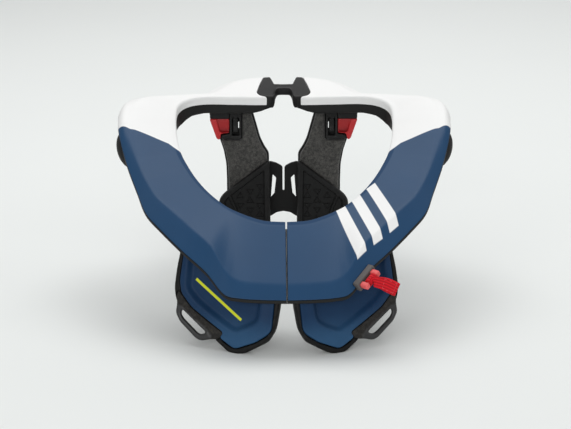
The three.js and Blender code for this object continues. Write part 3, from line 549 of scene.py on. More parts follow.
def chest_look(name, striped):
    look = Look(name)
    places = look.places()
    grain = look.noise(places, 0.5, 2.0)
    cloud = look.noise(places, 14.0, 3.0)
    u, v, _ = look.apart(look.plan())
    # The low band of each chest pad is painted paler: painted light, with random tone from the cloud mixed in.
    low = (1 - v.step(-25.0, 14.0)) * 0.8 + cloud * 0.2
    colour = look.mix(low, NAVY, LIT_NAVY)
    height = grain
    if striped:
        run = Vector(STRIPE_TO) - Vector(STRIPE_FROM)
        unit = run.normalized()
        along = (u - STRIPE_FROM[0]) * unit.x + (v - STRIPE_FROM[1]) * unit.y
        across = abs((u - STRIPE_FROM[0]) * unit.y - (v - STRIPE_FROM[1]) * unit.x)
        stripe = (1 - across.step(STRIPE_HALF, 0.12)) * along.step(0.0, 0.2) * (1 - along.step(run.length, 0.2))
        colour = look.mix(stripe, colour, YELLOW)
        height = grain + stripe * 0.8
    look.bump(height, 0.06, 0.6)
    return look.finish(colour=colour, roughness=grain * 0.12 + 0.40, specular=0.14)


def loop_look():
    """Smooth black bar, with a fibrous zone next to the pad's face."""
    look = Look("strap_loop_black")
    places = look.places()
    zone = look.mark("zone")
    fibre = look.noise(places, 0.7, 6.0, 0.75)
    mottle = look.noise(places, 2.6, 4.0, 0.7)
    fuzzy = look.mix((mottle * 0.6 + fibre * 0.5).step(0.60, 0.14), (0.010, 0.009, 0.008), (0.040, 0.036, 0.031))
    smooth = look.mix(mottle, (0.015, 0.015, 0.016), (0.021, 0.021, 0.022))
    look.bump(fibre * zone, 0.35, 0.8)
    return look.finish(colour=look.mix(zone, smooth, fuzzy), roughness=zone * 0.5 + fibre * 0.08 + 0.36)


def wedge_look():
    look = Look("red_wedge")
    places = look.places()
    x, y, z = look.apart(places)
    zone = look.mark("zone")
    grain = look.noise(places, 0.5, 2.0)
    # The pocket is painted darker than the raised outer strip, and darker still towards the bottom: painted shade.
    low = 1 - z.step(119.0, 5.0)
    shaded_pocket_red = look.mix(low, (0.38, 0.012, 0.014), (0.12, 0.006, 0.008))
    look.bump(grain, 0.05, 0.5)
    return look.finish(colour=look.mix(zone, shaded_pocket_red, (0.56, 0.020, 0.024)), roughness=grain * 0.1 + 0.38)


def webbing_look():
    """Woven strap: ribs run along it, with a slanted twill between them."""
    look = Look("woven_red")
    along, across, _ = look.apart(look.plan())
    ribs = across.wave(2.1)
    twill = (along + abs(across) * 0.9).wave(1.0)
    fibre = look.noise(look.places(), 0.4, 5.0, 0.7)
    weave = ribs * 0.7 + twill * 0.3
    colour = look.mix((weave * 0.8 + fibre * 0.3).step(0.5, 0.4), (0.38, 0.005, 0.010), (0.70, 0.012, 0.024))
    look.bump(weave + fibre * 0.35, 0.34, 0.9)
    return look.finish(colour=colour, roughness=fibre * 0.1 + 0.72, specular=0.2)


def thread_look():
    look = Look("red_thread")
    twist = look.noise(look.places(), 0.3, 3.0)
    look.bump(twist, 0.05, 0.6)
    return look.finish(colour=look.mix(twist, (0.50, 0.02, 0.035), (0.80, 0.08, 0.09)), roughness=0.6)


# Making a piece

def piece(name, points, faces, look, body, nodes, slot, mirrored=False, plan=None, marks=None, sharp=38.0):
    """A mesh from points in millimetres in the collar's frame."""
    points = np.array(points, float)
    if mirrored:
        points = points * (-1, 1, 1)
        faces = [tuple(reversed(face)) for face in faces]
    points = (points + (0, SHIFT, 0)) * MM
    data = bpy.data.meshes.new(name)
    data.from_pydata(points.tolist(), [], faces)
    if plan is not None:
        layer = data.uv_layers.new(name="plan")
        corners = np.array([data.loops[i].vertex_index for i in range(len(data.loops))])
        layer.data.foreach_set("uv", np.array(plan, float)[corners].ravel())
    for mark, values in (marks or {}).items():
        data.attributes.new(mark, "FLOAT", "POINT").data.foreach_set("value", np.array(values, float))
    thing = bpy.data.objects.new(name, data)
    bpy.context.scene.collection.objects.link(thing)
    data.materials.append(look)
    data.validate()
    smooth(data, sharp)
    return attach(thing, body, nodes, slot)


def smooth(data, sharp):
    data.shade_smooth()
    data.set_sharp_from_angle(angle=math.radians(sharp))


def attach(thing, body, nodes, slot):
    if body:
        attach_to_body(thing, body)
    if nodes:
        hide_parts(*nodes)
    return thing


def cut(thing, cutters, sharp=38.0):
    """Cuts the cutters out of a piece that rides on nothing yet."""
    for cutter in cutters:
        tool = thing.modifiers.new("cut", "BOOLEAN")
        tool.operation = "DIFFERENCE"
        tool.solver = "EXACT"
        tool.object = cutter
    bpy.context.view_layer.update()
    made = thing.evaluated_get(bpy.context.evaluated_depsgraph_get())
    data = bpy.data.meshes.new_from_object(made)
    old = thing.data
    thing.modifiers.clear()
    thing.data = data
    bpy.data.meshes.remove(old)
    smooth(data, sharp)
    for cutter in cutters:
        bpy.data.objects.remove(cutter)


# Outlines

def scaled(points, width, height):
    return np.array(points, float) * (width, height)


def rounded(points, radius, steps=5):
    """A closed outline with its corners rounded."""
    points = np.array(points, float)
    out = []
    for i, here in enumerate(points):
        before, after = points[i - 1], points[(i + 1) % len(points)]
        start = towards(here, before, radius)
        end = towards(here, after, radius)
        out.extend(arc(start, here, end, steps))
    return np.array(out)


def towards(here, other, radius):
    length = np.linalg.norm(other - here)
    return here + (other - here) / length * min(radius, length * 0.45)


def arc(start, corner, end, steps):
    return [(1 - t) ** 2 * start + 2 * t * (1 - t) * corner + t * t * end for t in np.linspace(0, 1, steps + 1)]


def sideways(step):
    length = math.hypot(*step)
    return np.array((step[1] / length, -step[0] / length))


def mitre(one, other):
    total = one + other
    unit = total / np.linalg.norm(total)
    return unit / max(0.35, float(unit @ one))


def area(points):
    x, y = np.array(points).T
    return 0.5 * float(np.sum(x * np.roll(y, -1) - y * np.roll(x, -1)))


def offset(points, distance):
    """A closed outline moved outwards."""
    points = np.array(points, float)
    turn = math.copysign(1, area(points))
    out = []
    for i, here in enumerate(points):
        before, after = points[i - 1], points[(i + 1) % len(points)]
        out.append(here + mitre(sideways(here - before), sideways(after - here)) * distance * turn)
    return np.array(out)


def depth_in(spots, loops):
    """Distance of each spot from the loops, above 0 inside the first and outside the others."""
    spots = np.array(spots, float)
    nearest = np.full(len(spots), 1e9)
    inside = np.zeros(len(spots), bool)
    for loop in loops:
        loop = np.array(loop, float)
        for a, b in zip(loop, np.roll(loop, -1, axis=0)):
            run = b - a
            share = np.clip(((spots - a) @ run) / max(run @ run, 1e-12), 0, 1)
            nearest = np.minimum(nearest, np.linalg.norm(spots - a - share[:, None] * run, axis=1))
            crosses = (a[1] > spots[:, 1]) != (b[1] > spots[:, 1])
            if crosses.any():
                at = a[0] + (spots[:, 1] - a[1]) / ((b[1] - a[1]) or 1e-12) * run[0]
                inside ^= crosses & (spots[:, 0] < at)
    return np.where(inside, nearest, -nearest)


def dense(loop, pitch):
    loop = np.array(loop, float)
    out = []
    for a, b in zip(loop, np.roll(loop, -1, axis=0)):
        count = max(1, round(float(np.linalg.norm(b - a)) / pitch))
        out.extend(a + (b - a) * k / count for k in range(count))
    return np.array(out)


def fade(values):
    t = np.clip(values, 0, 1)
    return t * t * (3 - 2 * t)


def roll(depth, radius):
    """Height lost to a rounded edge at a depth in from it."""
    left = radius - np.clip(depth, 0, radius)
    return np.sqrt(np.maximum(radius * radius - left * left, 0)) - radius


ROLL_SHARES = (0.08, 0.29, 0.62, 1.0)


def relief(outline, top, bottom, holes=(), edge=1.0, pitch=1.3, features=()):
    """A plate over a flat outline. top and bottom take spots and their depth in from the edge and
    give heights. features are (loop, distances) where the height changes. Gives points in
    (u, v, height), faces, the plan of each point and its depth."""
    loops = [dense(loop, pitch) for loop in (outline, *holes)]
    border = np.concatenate(loops)
    more = []
    for loop in loops:
        normals = np.array([mitre(sideways(p - loop[i - 1]), sideways(loop[(i + 1) % len(loop)] - p))
                            for i, p in enumerate(loop)])
        for share in ROLL_SHARES:
            for side in (1, -1):
                spots = loop + normals * side * share * edge
                depth = depth_in(spots, loops)
                more.append(spots[np.abs(depth - share * edge) < share * edge * 0.12])
    for loop, distances in features:
        line = dense(loop, pitch)
        normals = np.array([mitre(sideways(p - line[i - 1]), sideways(line[(i + 1) % len(line)] - p))
                            for i, p in enumerate(line)])
        turn = -math.copysign(1, area(line))
        for distance in distances:
            spots = line + normals * distance * turn
            good = np.abs(depth_in(spots, [loop]) - distance) < 0.15 + abs(distance) * 0.05
            more.append(spots[good & (depth_in(spots, loops) > edge * 1.05)])
    low, high = border.min(0), border.max(0)
    grid = []
    wide = pitch * 1.5
    for row, v in enumerate(np.arange(low[1], high[1], wide * 0.87)):
        us = np.arange(low[0] + (row % 2) * wide / 2, high[0], wide)
        grid.append(np.stack([us, np.full(len(us), v)], axis=1))
    grid = np.concatenate(grid)
    more.append(grid[depth_in(grid, loops) > edge + 0.4 * pitch])
    spots = thin_out(border, np.concatenate(more), min(0.34 * pitch, edge * 0.2 + 0.05))
    edges = []
    first = 0
    for loop in loops:
        edges += [(first + i, first + (i + 1) % len(loop)) for i in range(len(loop))]
        first += len(loop)
    result = geometry.delaunay_2d_cdt([Vector(p) for p in spots], edges, [], 0, 1e-5)
    flat = np.array([tuple(p) for p in result[0]])
    triangles = np.array([tuple(face) for face in result[2]])
    middles = flat[triangles].mean(1)
    triangles = triangles[depth_in(middles, loops) > 0]
    a, b, c = (flat[triangles[:, i]] for i in range(3))
    turned = (b - a)[:, 0] * (c - a)[:, 1] - (b - a)[:, 1] * (c - a)[:, 0] < 0
    triangles[turned] = triangles[turned][:, ::-1]
    used, triangles = np.unique(triangles, return_inverse=True)
    triangles = triangles.reshape(-1, 3)
    flat = flat[used]
    depth = np.maximum(depth_in(flat, loops), 0)
    depth[depth < 1e-3] = 0
    count = len(flat)
    points = np.concatenate([np.column_stack([flat, top(flat, depth)]),
                             np.column_stack([flat, bottom(flat, depth)])])
    faces = [tuple(t) for t in triangles.tolist()]
    faces += [(c + count, b + count, a + count) for a, b, c in triangles.tolist()]
    seen = set()
    for a, b, c in triangles.tolist():
        seen.update(((a, b), (b, c), (c, a)))
    faces += [(a, a + count, b + count, b) for a, b in sorted(seen) if (b, a) not in seen]
    return points, faces, np.concatenate([flat, flat]), np.concatenate([depth, depth])


def thin_out(kept, more, near):
    """The kept spots, and each of the others that isn't near an earlier one."""
    taken = {}
    out = []

    def close(spot):
        cell = (math.floor(spot[0] / near), math.floor(spot[1] / near))
        for i in (-1, 0, 1):
            for j in (-1, 0, 1):
                for other in taken.get((cell[0] + i, cell[1] + j), ()):
                    if abs(other[0] - spot[0]) < near and abs(other[1] - spot[1]) < near:
                        return True, cell
        return False, cell

    for index, spot in enumerate([*kept, *more]):
        found, cell = close(spot)
        if index < len(kept) or not found:
            taken.setdefault(cell, []).append(spot)
            out.append(spot)
    return out


# Planes that reliefs are set in: columns u, v, height and origin, in millimetres

def upright(back_y):
    """Facing the front, with height 0 at back_y."""
    return np.array(((1, 0, 0, 0), (0, 0, -1, back_y), (0, 1, 0, 0)), float)


LYING = np.array(((1, 0, 0, 0), (0, 1, 0, 0), (0, 0, 1, 0)), float)


def chest_plane():
    turn, lean = math.radians(CHEST_TURN), math.radians(CHEST_LEAN)
    across = np.array((math.cos(turn), math.sin(turn), 0))
    level = np.array((-math.sin(turn), math.cos(turn), 0))
    up = level * math.sin(lean) + np.array((0, 0, math.cos(lean)))
    outward = np.cross(across, up)
    lift = (CHEST_DROP - CHIN_CUT) * math.cos(lean)
    origin = (CHEST_INSET[0], CHEST_INSET[1] - FRONT_REACH, lift)
    return np.column_stack([across, up, outward, origin])


def place(points, plane):
    return np.array(points) @ plane[:, :3].T + plane[:, 3]


def edge_mark(depth, reach=1.6):
    return np.exp(-np.array(depth) / reach)


# Collar sections

COLUMNS = [dict(zip(SECTION_COLUMNS, row)) for row in SECTIONS]
HALF_SPLIT = SPLIT / 2


def across_plan(share, half_width):
    return HALF_SPLIT + share * (half_width - HALF_SPLIT)


NECK_POINTS = [np.array((across_plan(c["neckX"], NECK_HALF_WIDTH), c["neckY"] * NECK_HALF_DEPTH,
                         c["lipZ"] * COLLAR_HEIGHT)) for c in COLUMNS]
EDGE_POINTS = [np.array((across_plan(c["edgeX"], COLLAR_HALF_WIDTH),
                         c["edgeY"] * (FRONT_REACH if c["edgeY"] < 0 else REAR_REACH),
                         c["edgeZ"] * COLLAR_HEIGHT)) for c in COLUMNS]
CREASE_POINTS = [np.array((c["creaseAt"], 0, c["creaseZ"] * COLLAR_HEIGHT)) for c in COLUMNS]


def curve_at(points, row, even=False):
    """A smooth curve through the points, at a row that may lie between two."""
    i = min(int(row), len(points) - 2)
    t = row - i
    b, c = points[i], points[i + 1]
    a = points[i - 1] if i > 0 else 2 * b - c
    d = points[i + 2] if i + 2 < len(points) else 2 * c - b
    if even:
        start, end = (c - a) / 2, (d - b) / 2
    else:
        ab, bc, cd = (max(math.sqrt(float(np.linalg.norm(q - p))), 1e-4) for p, q in ((a, b), (b, c), (c, d)))
        start = ((b - a) / ab - (c - a) / (ab + bc) + (c - b) / bc) * bc
        end = ((c - b) / bc - (d - b) / (bc + cd) + (d - c) / cd) * bc
    return ((2 * t ** 3 - 3 * t ** 2 + 1) * b + (t ** 3 - 2 * t ** 2 + t) * start
            + (3 * t ** 2 - 2 * t ** 3) * c + (t ** 3 - t ** 2) * end)


def between(row, column):
    i = min(int(row), len(COLUMNS) - 2)
    return COLUMNS[i][column] + (COLUMNS[i + 1][column] - COLUMNS[i][column]) * (row - i)


class Section:
    """One upright section of the collar, in (outward, height) pairs."""

    def __init__(self, row):
        neck, edge = curve_at(NECK_POINTS, row), curve_at(EDGE_POINTS, row)
        crease = curve_at(CREASE_POINTS, row, even=True)
        self.neck = neck
        self.out = (edge - neck) * (1, 1, 0)
        self.reach = float(np.linalg.norm(self.out))
        self.out = self.out / self.reach
        self.crease_s = crease[0] * self.reach
        self.crease_z = crease[2]
        self.edge_z = edge[2]
        self.puff_share = between(row, "puff")
        self.puff = PUFF * self.puff_share
        self.band = BASE_BAND * between(row, "band")
        slope = (self.crease_z - neck[2]) / self.crease_s
        self.strip_z = neck[2] + slope * STRIP_WIDTH * 0.8
        self.side = math.atan2(self.crease_z - self.edge_z, self.reach - self.crease_s)

    def top(self):
        facet = (self.crease_z - self.strip_z) / (self.crease_s - STRIP_WIDTH)
        lip, s, z = self.neck[2], self.crease_s, self.crease_z
        return [
            (0, lip - LIP_DROP),
            (-0.2, lip - LIP_DROP * 0.4),
            (LIP_ROUND, lip - 0.2),
            (STRIP_WIDTH, self.strip_z),
            ((STRIP_WIDTH + s) / 2, (self.strip_z + z) / 2 + self.puff * 0.5),
            (s - CREASE_ROUND, z - facet * CREASE_ROUND),
            (s + CREASE_ROUND * math.cos(self.side), z - CREASE_ROUND * math.sin(self.side) * 0.9),
            ((s + self.reach) / 2 + self.puff * math.sin(self.side),
             (z + self.edge_z) / 2 + self.puff * math.cos(self.side)),
            (self.reach, self.edge_z),
        ]

    def inner(self, depth):
        """The top line moved inwards."""
        top = [np.array(p) for p in self.top()]
        line = []
        for i, here in enumerate(top):
            before = sideways(here - top[i - 1]) if i else sideways(top[1] - here)
            after = sideways(top[i + 1] - here) if i < len(top) - 1 else before
            line.append(here + mitre(before, after) * depth)
        foot, near = top[-1], top[-2]
        steep = abs(foot[1] - near[1]) / np.linalg.norm(foot - near)
        strip, facet = line[3], line[4]
        slope = (facet[1] - strip[1]) / (facet[0] - strip[0])

        def corner(s):
            return np.array((s, facet[1] - slope * (facet[0] - s)))

        line[3] = corner(max(strip[0], depth + LIP_ROUND))
        line[2] = corner(depth + LIP_ROUND * 0.3)
        line[1] = np.array((depth, line[2][1] - LIP_ROUND * 0.4))
        line[0] = np.array((depth, top[0][1]))
        line[-1] = np.array((foot[0] - depth / max(steep, 0.5), foot[1]))
        return line

    def skin(self):
        """The cover's visible line, rounded, always with as many points."""
        lip, s, z = self.neck[2], self.crease_s, self.crease_z
        soft = CREASE_ROUND + (SOFT_CREASE - CREASE_ROUND) * self.puff_share
        foot = (self.reach - SHELL_WALL / max(math.sin(self.side), 0.5), self.edge_z)
        corners = [(0.15, lip - LIP_DROP), (-0.2, lip - 0.1), (STRIP_WIDTH, self.strip_z), (s, z),
                   (self.reach, self.edge_z), foot]
        line = run_round(corners, (1.0, 2.9, 1.8, soft, 1.0), (2, 1, 8, 6, 1), (6, 4, 8, 4))
        out = []
        for at, height in line:
            if STRIP_WIDTH < at < s:
                bulge = math.sin(math.pi * (at - STRIP_WIDTH) / (s - STRIP_WIDTH)) * self.puff * 0.5
                out.append((at, height + bulge))
            elif at >= s and height > self.edge_z + 0.5:
                bulge = math.sin(math.pi * (at - s) / (self.reach - s)) * self.puff
                out.append((at + bulge * math.sin(self.side), height + bulge * math.cos(self.side)))
            else:
                out.append((at, height))
        return out

    def cover(self):
        return self.skin() + [tuple(p) for p in reversed(self.inner(SHELL_WALL)[:-1])]

    def height_at(self, line, s):
        for a, b in zip(line[1:], line[2:]):
            if b[0] >= s:
                return a[1] + (b[1] - a[1]) * (s - a[0]) / (b[0] - a[0])
        return line[-1][1]

    def underside(self):
        roof = self.inner(SHELL_WALL + GAP)
        first = min(BASE_RIM * 1.5, self.reach * 0.38)
        last = max(self.reach * 0.55, self.crease_s - CORE_INSET)
        bottom = self.neck[2] - LIP_DROP - self.band
        core = [(s, self.height_at(roof, s) - BASE_CORE) for s in (last, (first + last) / 2, first)]
        return [(self.reach - TRIM_INSET, self.edge_z - BASE_TRIM), (self.reach - BASE_RIM, self.edge_z - BASE_TRIM),
                *core, (BASE_RIM * 0.9, bottom), (BASE_INSET, bottom)]

    def base(self):
        roof = self.inner(SHELL_WALL + GAP)
        lip = self.neck[2] - LIP_DROP - GAP
        roof[0] = (roof[0][0], lip)
        roof[-1] = (roof[-1][0], self.edge_z - GAP)
        low = [(self.reach - TRIM_INSET, self.edge_z - GAP), *self.underside(), (BASE_INSET, lip)]
        low = run_round(low, (0.5, 1.1, 2.5, 4.0, 6.0, 4.0, 2.4, 2.4, 0.6), (1,) * 8, (4, 3, 3, 3, 3, 4, 5))
        return list(reversed([tuple(p) for p in roof] + low))


def run_round(corners, radii, spans, steps):
    """An open line with rounded inner corners. spans and steps say how many pieces each straight
    stretch and each corner has, so that every section has as many points."""
    corners = [np.array(p, float) for p in corners]
    starts, ends = [None], [corners[0]]
    for i in range(1, len(corners) - 1):
        starts.append(towards(corners[i], corners[i - 1], radii[i]))
        ends.append(towards(corners[i], corners[i + 1], radii[i]))
    starts.append(corners[-1])
    out = [corners[0]]
    for i in range(len(corners) - 1):
        for k in range(1, spans[i] + 1):
            out.append(ends[i] + (starts[i + 1] - ends[i]) * k / spans[i])
        if i < len(corners) - 2:
            out.extend(arc(starts[i + 1], corners[i + 1], ends[i + 1], steps[i])[1:])
    return [tuple(p) for p in out]


def fine_rows():
    rows = [0.0]
    for i in range(len(COLUMNS) - 1):
        span = float(np.linalg.norm(EDGE_POINTS[i + 1] - EDGE_POINTS[i]))
        steps = max(2, round(span / RING_PITCH))
        rows += [i + k / steps for k in range(1, steps + 1)]
    return rows


CUTS = [Section(row) for row in fine_rows()]


def sweep(outline_of, split=HALF_SPLIT):
    """A skin through the sections, with its front end at the given distance from the middle."""
    outlines = [outline_of(cut) for cut in CUTS]
    count = len(outlines[0])
    points = []
    for section, outline in zip(CUTS, outlines):
        points += [tuple(section.neck * (1, 1, 0) + section.out * s + (0, 0, z)) for s, z in outline]
    points[:count] = [(split, y, z) for _, y, z in points[:count]]
    faces = []
    for i in range(len(CUTS) - 1):
        for j in range(count):
            a, b = i * count + j, i * count + (j + 1) % count
            faces.append((a, b, b + count, a + count))
    faces.append(tuple(reversed(range(count))))
    last = (len(CUTS) - 1) * count
    faces.append(tuple(last + j for j in range(count)))
    if volume(points, faces) < 0:
        faces = [tuple(reversed(face)) for face in faces]
    return points, faces, [spot for outline in outlines for spot in outline]


def volume(points, faces):
    points = np.array(points, float)
    total = 0.0
    for face in faces:
        a = points[face[0]]
        for b, c in zip(face[1:], face[2:]):
            total += float(a @ np.cross(points[b], points[c]))
    return total / 6


COVER_MESH = sweep(Section.cover, COVER_SPLIT)
BASE_MESH = sweep(Section.base, FOAM_SPLIT)
COVER_TREE = BVHTree.FromPolygons(COVER_MESH[0], COVER_MESH[1])
BASE_TREE = BVHTree.FromPolygons(BASE_MESH[0], BASE_MESH[1])


def under_collar(x, y):
    """Height of the collar's underside over a place in plan, or None."""
    hit = BASE_TREE.ray_cast(Vector((max(abs(x), 0.7), y, -50)), Vector((0, 0, 1)))
    return hit[0].z if hit[0] else None


def over_collar(x, y):
    hit = COVER_TREE.ray_cast(Vector((max(abs(x), 0.7), y, 300)), Vector((0, 0, -1)))
    return hit[0].z if hit[0] else None


def tuck(points, into=1.2):
    """Ends what runs up into the collar just inside its underside."""
    out = np.array(points, float)
    for point in out:
        under = under_collar(point[0], point[1])
        if under is not None and point[2] > under + into:
            point[2] = under + into
    return out


# Cutters that leave room for the link, the hinge and the latch

def prism(name, outline, low, high):
    outline = np.array(outline)
    if area(outline) < 0:
        outline = outline[::-1]
    count = len(outline)
    points = [(x, y, low) for x, y in outline] + [(x, y, high) for x, y in outline]
    faces = [tuple(reversed(range(count))), tuple(range(count, 2 * count))]
    faces += [(i, (i + 1) % count, count + (i + 1) % count, count + i) for i in range(count)]
    return name, points, faces


def cutter(shape, mirrored=False):
    name, points, faces = shape
    thing = piece(name, points, faces, None, None, None, None, mirrored)
    thing.display_type = "WIRE"
    return thing


def lobe_line(clearance=0.0):
    depth = REAR_REACH - NECK_HALF_DEPTH
    line = [(x * LINK_HALF_WIDTH, NECK_HALF_DEPTH + y * depth) for x, y in LOBE_OUTLINE]
    return offset(rounded(line, 3.0), clearance)


LINK_CUTS = (
    prism("lobe_cut", lobe_line(GAP), COLLAR_HEIGHT * 0.7, COLLAR_HEIGHT * 1.2),
    prism("front_cut", [(-2, 60), (LINK_HALF_WIDTH * NOTCH_SHARE, 60), (LINK_HALF_WIDTH * NOTCH_SHARE, HINGE_Y + 0.1),
                        (-2, HINGE_Y + 0.1)], COLLAR_HEIGHT * 0.69, COLLAR_HEIGHT * 1.21),
    prism("rear_cut", [(-2.2, HINGE_Y), (LINK_HALF_WIDTH * REAR_NOTCH_SHARE, HINGE_Y),
                       (LINK_HALF_WIDTH * REAR_NOTCH_SHARE, REAR_REACH * 1.1), (-2.2, REAR_REACH * 1.1)],
          COLLAR_HEIGHT * 0.68, COLLAR_HEIGHT * 1.22),
)


class LatchFrame:
    """The latch lies along the wing's lower edge."""

    def __init__(self):
        start, end = (curve_at(EDGE_POINTS, row) for row in LATCH_ROWS)
        self.length = float(np.linalg.norm(start - end))
        self.along = (start - end) / self.length
        level = np.array((-self.along[1], self.along[0], 0))
        level /= np.linalg.norm(level)
        self.up = np.cross(self.along, level)
        self.outward = np.cross(self.up, self.along)
        self.centre = (start + end) / 2 + self.outward * LATCH_PROUD
        self.axes = np.column_stack([self.along, self.outward, self.up])

    def at(self, points):
        return np.array(points, float) @ self.axes.T + self.centre


LATCH = LatchFrame()


def rounded_box(size, centre, radius, levels=3):
    """A box with rounded edges: points and faces, in its own axes."""
    mesh = bmesh.new()
    bmesh.ops.create_cube(mesh, size=1.0)
    bmesh.ops.scale(mesh, vec=size, verts=mesh.verts)
    bmesh.ops.bevel(mesh, geom=mesh.edges[:], offset=radius, segments=levels, profile=0.5, affect="EDGES")
    bmesh.ops.translate(mesh, vec=centre, verts=mesh.verts)
    mesh.verts.index_update()
    points = [tuple(v.co) for v in mesh.verts]
    faces = [tuple(v.index for v in f.verts) for f in mesh.faces]
    mesh.free()
    return points, faces


def joined(parts):
    points, faces = [], []
    for some, others in parts:
        first = len(points)
        points += [tuple(p) for p in some]
        faces += [tuple(i + first for i in face) for face in others]
    return points, faces


# The collar's pieces

SIDES = (("left", False), ("right", True))


def make_collar(paint, foam):
    for side, mirrored in SIDES:
        for kind, (points, faces, plan), look, slot in (("shell", COVER_MESH, paint, "collar_cover"),
                                                        ("base", BASE_MESH, foam, "black_foam")):
            thing = piece(f"{side}_{kind}_skin", points, faces, look, None, None, None, mirrored, plan)
            cutters = [cutter(shape, mirrored) for shape in LINK_CUTS]
            if not mirrored:
                size = (LATCH.length + 2 * GAP, LATCH_WIDTH + 2 * GAP, LATCH_HEIGHT + 2 * GAP)
                box_points, box_faces = rounded_box(size, (0, 0, 0), 0.3, 1)
                cutters.append(cutter(("latch_cut", LATCH.at(box_points), box_faces)))
            cut(thing, cutters)
            attach(thing, f"{side}_half", [f"{side}_collar_{kind}"], slot)
            kind == "base"


def make_shoulder_pads(foam):
    """A foam bulge under the collar's edge, with two moulded grooves along it."""
    here = curve_at(EDGE_POINTS, SHOULDER_ROW)
    along = curve_at(EDGE_POINTS, SHOULDER_ROW + 0.02) - curve_at(EDGE_POINTS, SHOULDER_ROW - 0.02)
    along /= np.linalg.norm(along)
    out = np.array((along[1], -along[0], 0))
    out /= np.linalg.norm(out)
    up = np.cross(out, along)
    centre = (here + out * (SHOULDER_PAD_PROUD - SHOULDER_PAD_SIZE[0] / 2) - up * SHOULDER_PAD_SIZE[2] * 0.4)
    turns, rings = 64, 40
    points = [centre - along * SHOULDER_PAD_SIZE[1] / 2]
    for i in range(1, rings):
        a = math.pi * i / rings
        for j in range(turns):
            b = 2 * math.pi * j / turns
            groove = 0.45 * sum(math.exp(-((math.degrees(b) - at) / 7) ** 2) for at in (330, 300))
            wide = math.sin(a) * (1 - groove / SHOULDER_PAD_SIZE[0] * 2)
            points.append(centre - along * math.cos(a) * SHOULDER_PAD_SIZE[1] / 2
                          + out * math.cos(b) * wide * SHOULDER_PAD_SIZE[0] / 2
                          + up * math.sin(b) * wide * SHOULDER_PAD_SIZE[2] / 2)
    points.append(centre + along * SHOULDER_PAD_SIZE[1] / 2)
    faces = []
    for j in range(turns):
        k = (j + 1) % turns
        faces.append((0, 1 + k, 1 + j))
        last = 1 + (rings - 2) * turns
        faces.append((last + j, last + k, len(points) - 1))
        for i in range(rings - 2):
            a = 1 + i * turns
            faces.append((a + j, a + k, a + turns + k, a + turns + j))
    if volume(points, faces) < 0:
        faces = [tuple(reversed(face)) for face in faces]
    points = tuck(points, into=1.5)
    for side, mirrored in SIDES:
        thing = piece(f"{side}_shoulder_foam", points, faces, foam, f"{side}_half", [f"{side}_shoulder_pad"],
                      "black_foam", mirrored)


def link_line():
    """One half of the link's plan, from the middle of its rear edge round to the middle of its front."""
    depth = REAR_REACH - NECK_HALF_DEPTH
    lobe = [(x * LINK_HALF_WIDTH, NECK_HALF_DEPTH + y * depth) for x, y in LOBE_OUTLINE]
    rear, front = HINGE_Y - 0.6, HINGE_Y - 16.6
    return [(0, rear - 0.3), (4.8, rear), (8.0, rear + 3.2), lobe[10], lobe[9], (lobe[8][0], LINK_REAR),
            (lobe[7][0] - 0.6, LINK_REAR), lobe[6], lobe[5], lobe[4], lobe[3], lobe[2],
            (12.4, NECK_HALF_DEPTH + 0.2), (8.2, NECK_HALF_DEPTH + 0.2), (7.4, front - 5), (4.8, front - 1),
            (0, front)]


def make_link(moulding):
    half = link_line()
    outline = half + [(-x, y) for x, y in reversed(half[1:-1])]
    outline = rounded(outline, 2.2)
    cache = {}

    def surfaces(spot):
        key = (round(abs(spot[0]), 3), round(spot[1], 3))
        if key not in cache:
            y = min(max(spot[1], NECK_HALF_DEPTH + 0.6), LINK_REAR - 2.0)
            over, under = over_collar(key[0], y), under_collar(key[0], y)
            cache[key] = (over or WAIST_TOP, under or WAIST_TOP - WAIST_THICKNESS)
        return cache[key]

    def waist(flat):
        return 1 - fade((np.abs(flat[:, 0]) - 5.0) / 5.0)

    def top(flat, depth):
        lobes = np.array([surfaces(p)[0] for p in flat])
        middle = WAIST_TOP - WAIST_DIP * fade(depth / 7.0)
        share = waist(flat)
        slanted = (flat[:, 0] * np.sign(flat[:, 0] + 1e-9) * 0.8 + flat[:, 1] * 0.6) / RIB_PITCH
        ribs = -RIB_DEPTH * (0.5 - 0.5 * np.cos(2 * np.pi * slanted)) * fade((depth - 1.6) / 1.2) * (1 - share)
        return lobes * (1 - share) + middle * share + roll(depth, 1.3) + ribs

    def bottom(flat, depth):
        lobes = np.array([surfaces(p)[1] for p in flat])
        share = waist(flat)
        return lobes * (1 - share) + (WAIST_TOP - WAIST_THICKNESS) * share - roll(depth, 0.8)

    points, faces, plan, depth = relief(outline, top, bottom, edge=1.3, pitch=0.62)
    thing = piece("rear_link", place(points, LYING), faces, moulding, None, None, None, plan=plan,
                  marks={"edge": edge_mark(depth)}, sharp=50)
    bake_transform(thing)
    attach(thing, None, ["left_link_lobe", "right_link_lobe"], "black_moulding")


# Struts, adjusters, back pads and link plate

STRUT_LINE = scaled(STRUT_OUTLINE, STRUT_HALF_SPAN, COLLAR_HEIGHT)
CLIP_X = CLIP_AT[0] * STRUT_HALF_SPAN
CLIP_Z = CLIP_AT[1] * COLLAR_HEIGHT
CLIP_LOW = CLIP_Z - CLIP_HEIGHT * 0.36
CLIP_HIGH = CLIP_Z + CLIP_HEIGHT * 0.30
FELT_BACK = STRUT_FRONT_Y - GAP
PAD_BACK = FELT_BACK - FELT_THICKNESS - GAP
BACK_PAD_LINE = scaled(BACK_PAD_OUTLINE, BACK_PAD_HALF_SPAN, BACK_PAD_HEIGHT)


def both(name, made, plane, look, node, slot, marks=None, tucked=True, sharp=38.0, floor=False):
    """A relief set in its plane, once on each side."""
    points, faces, plan, depth = made
    points = place(points, plane)
    if tucked:
        points = tuck(points)
    if floor:
        points[:, 2] = np.maximum(points[:, 2], 0)
    things = []
    for side, mirrored in SIDES:
        finish = look[side] if isinstance(look, dict) else look
        things.append(piece(f"{side}_{name}", points, faces, finish, f"{side}_half", [f"{side}_{node}"], slot,
                            mirrored, plan, {"edge": edge_mark(depth), **(marks or {})}, sharp))
    return things


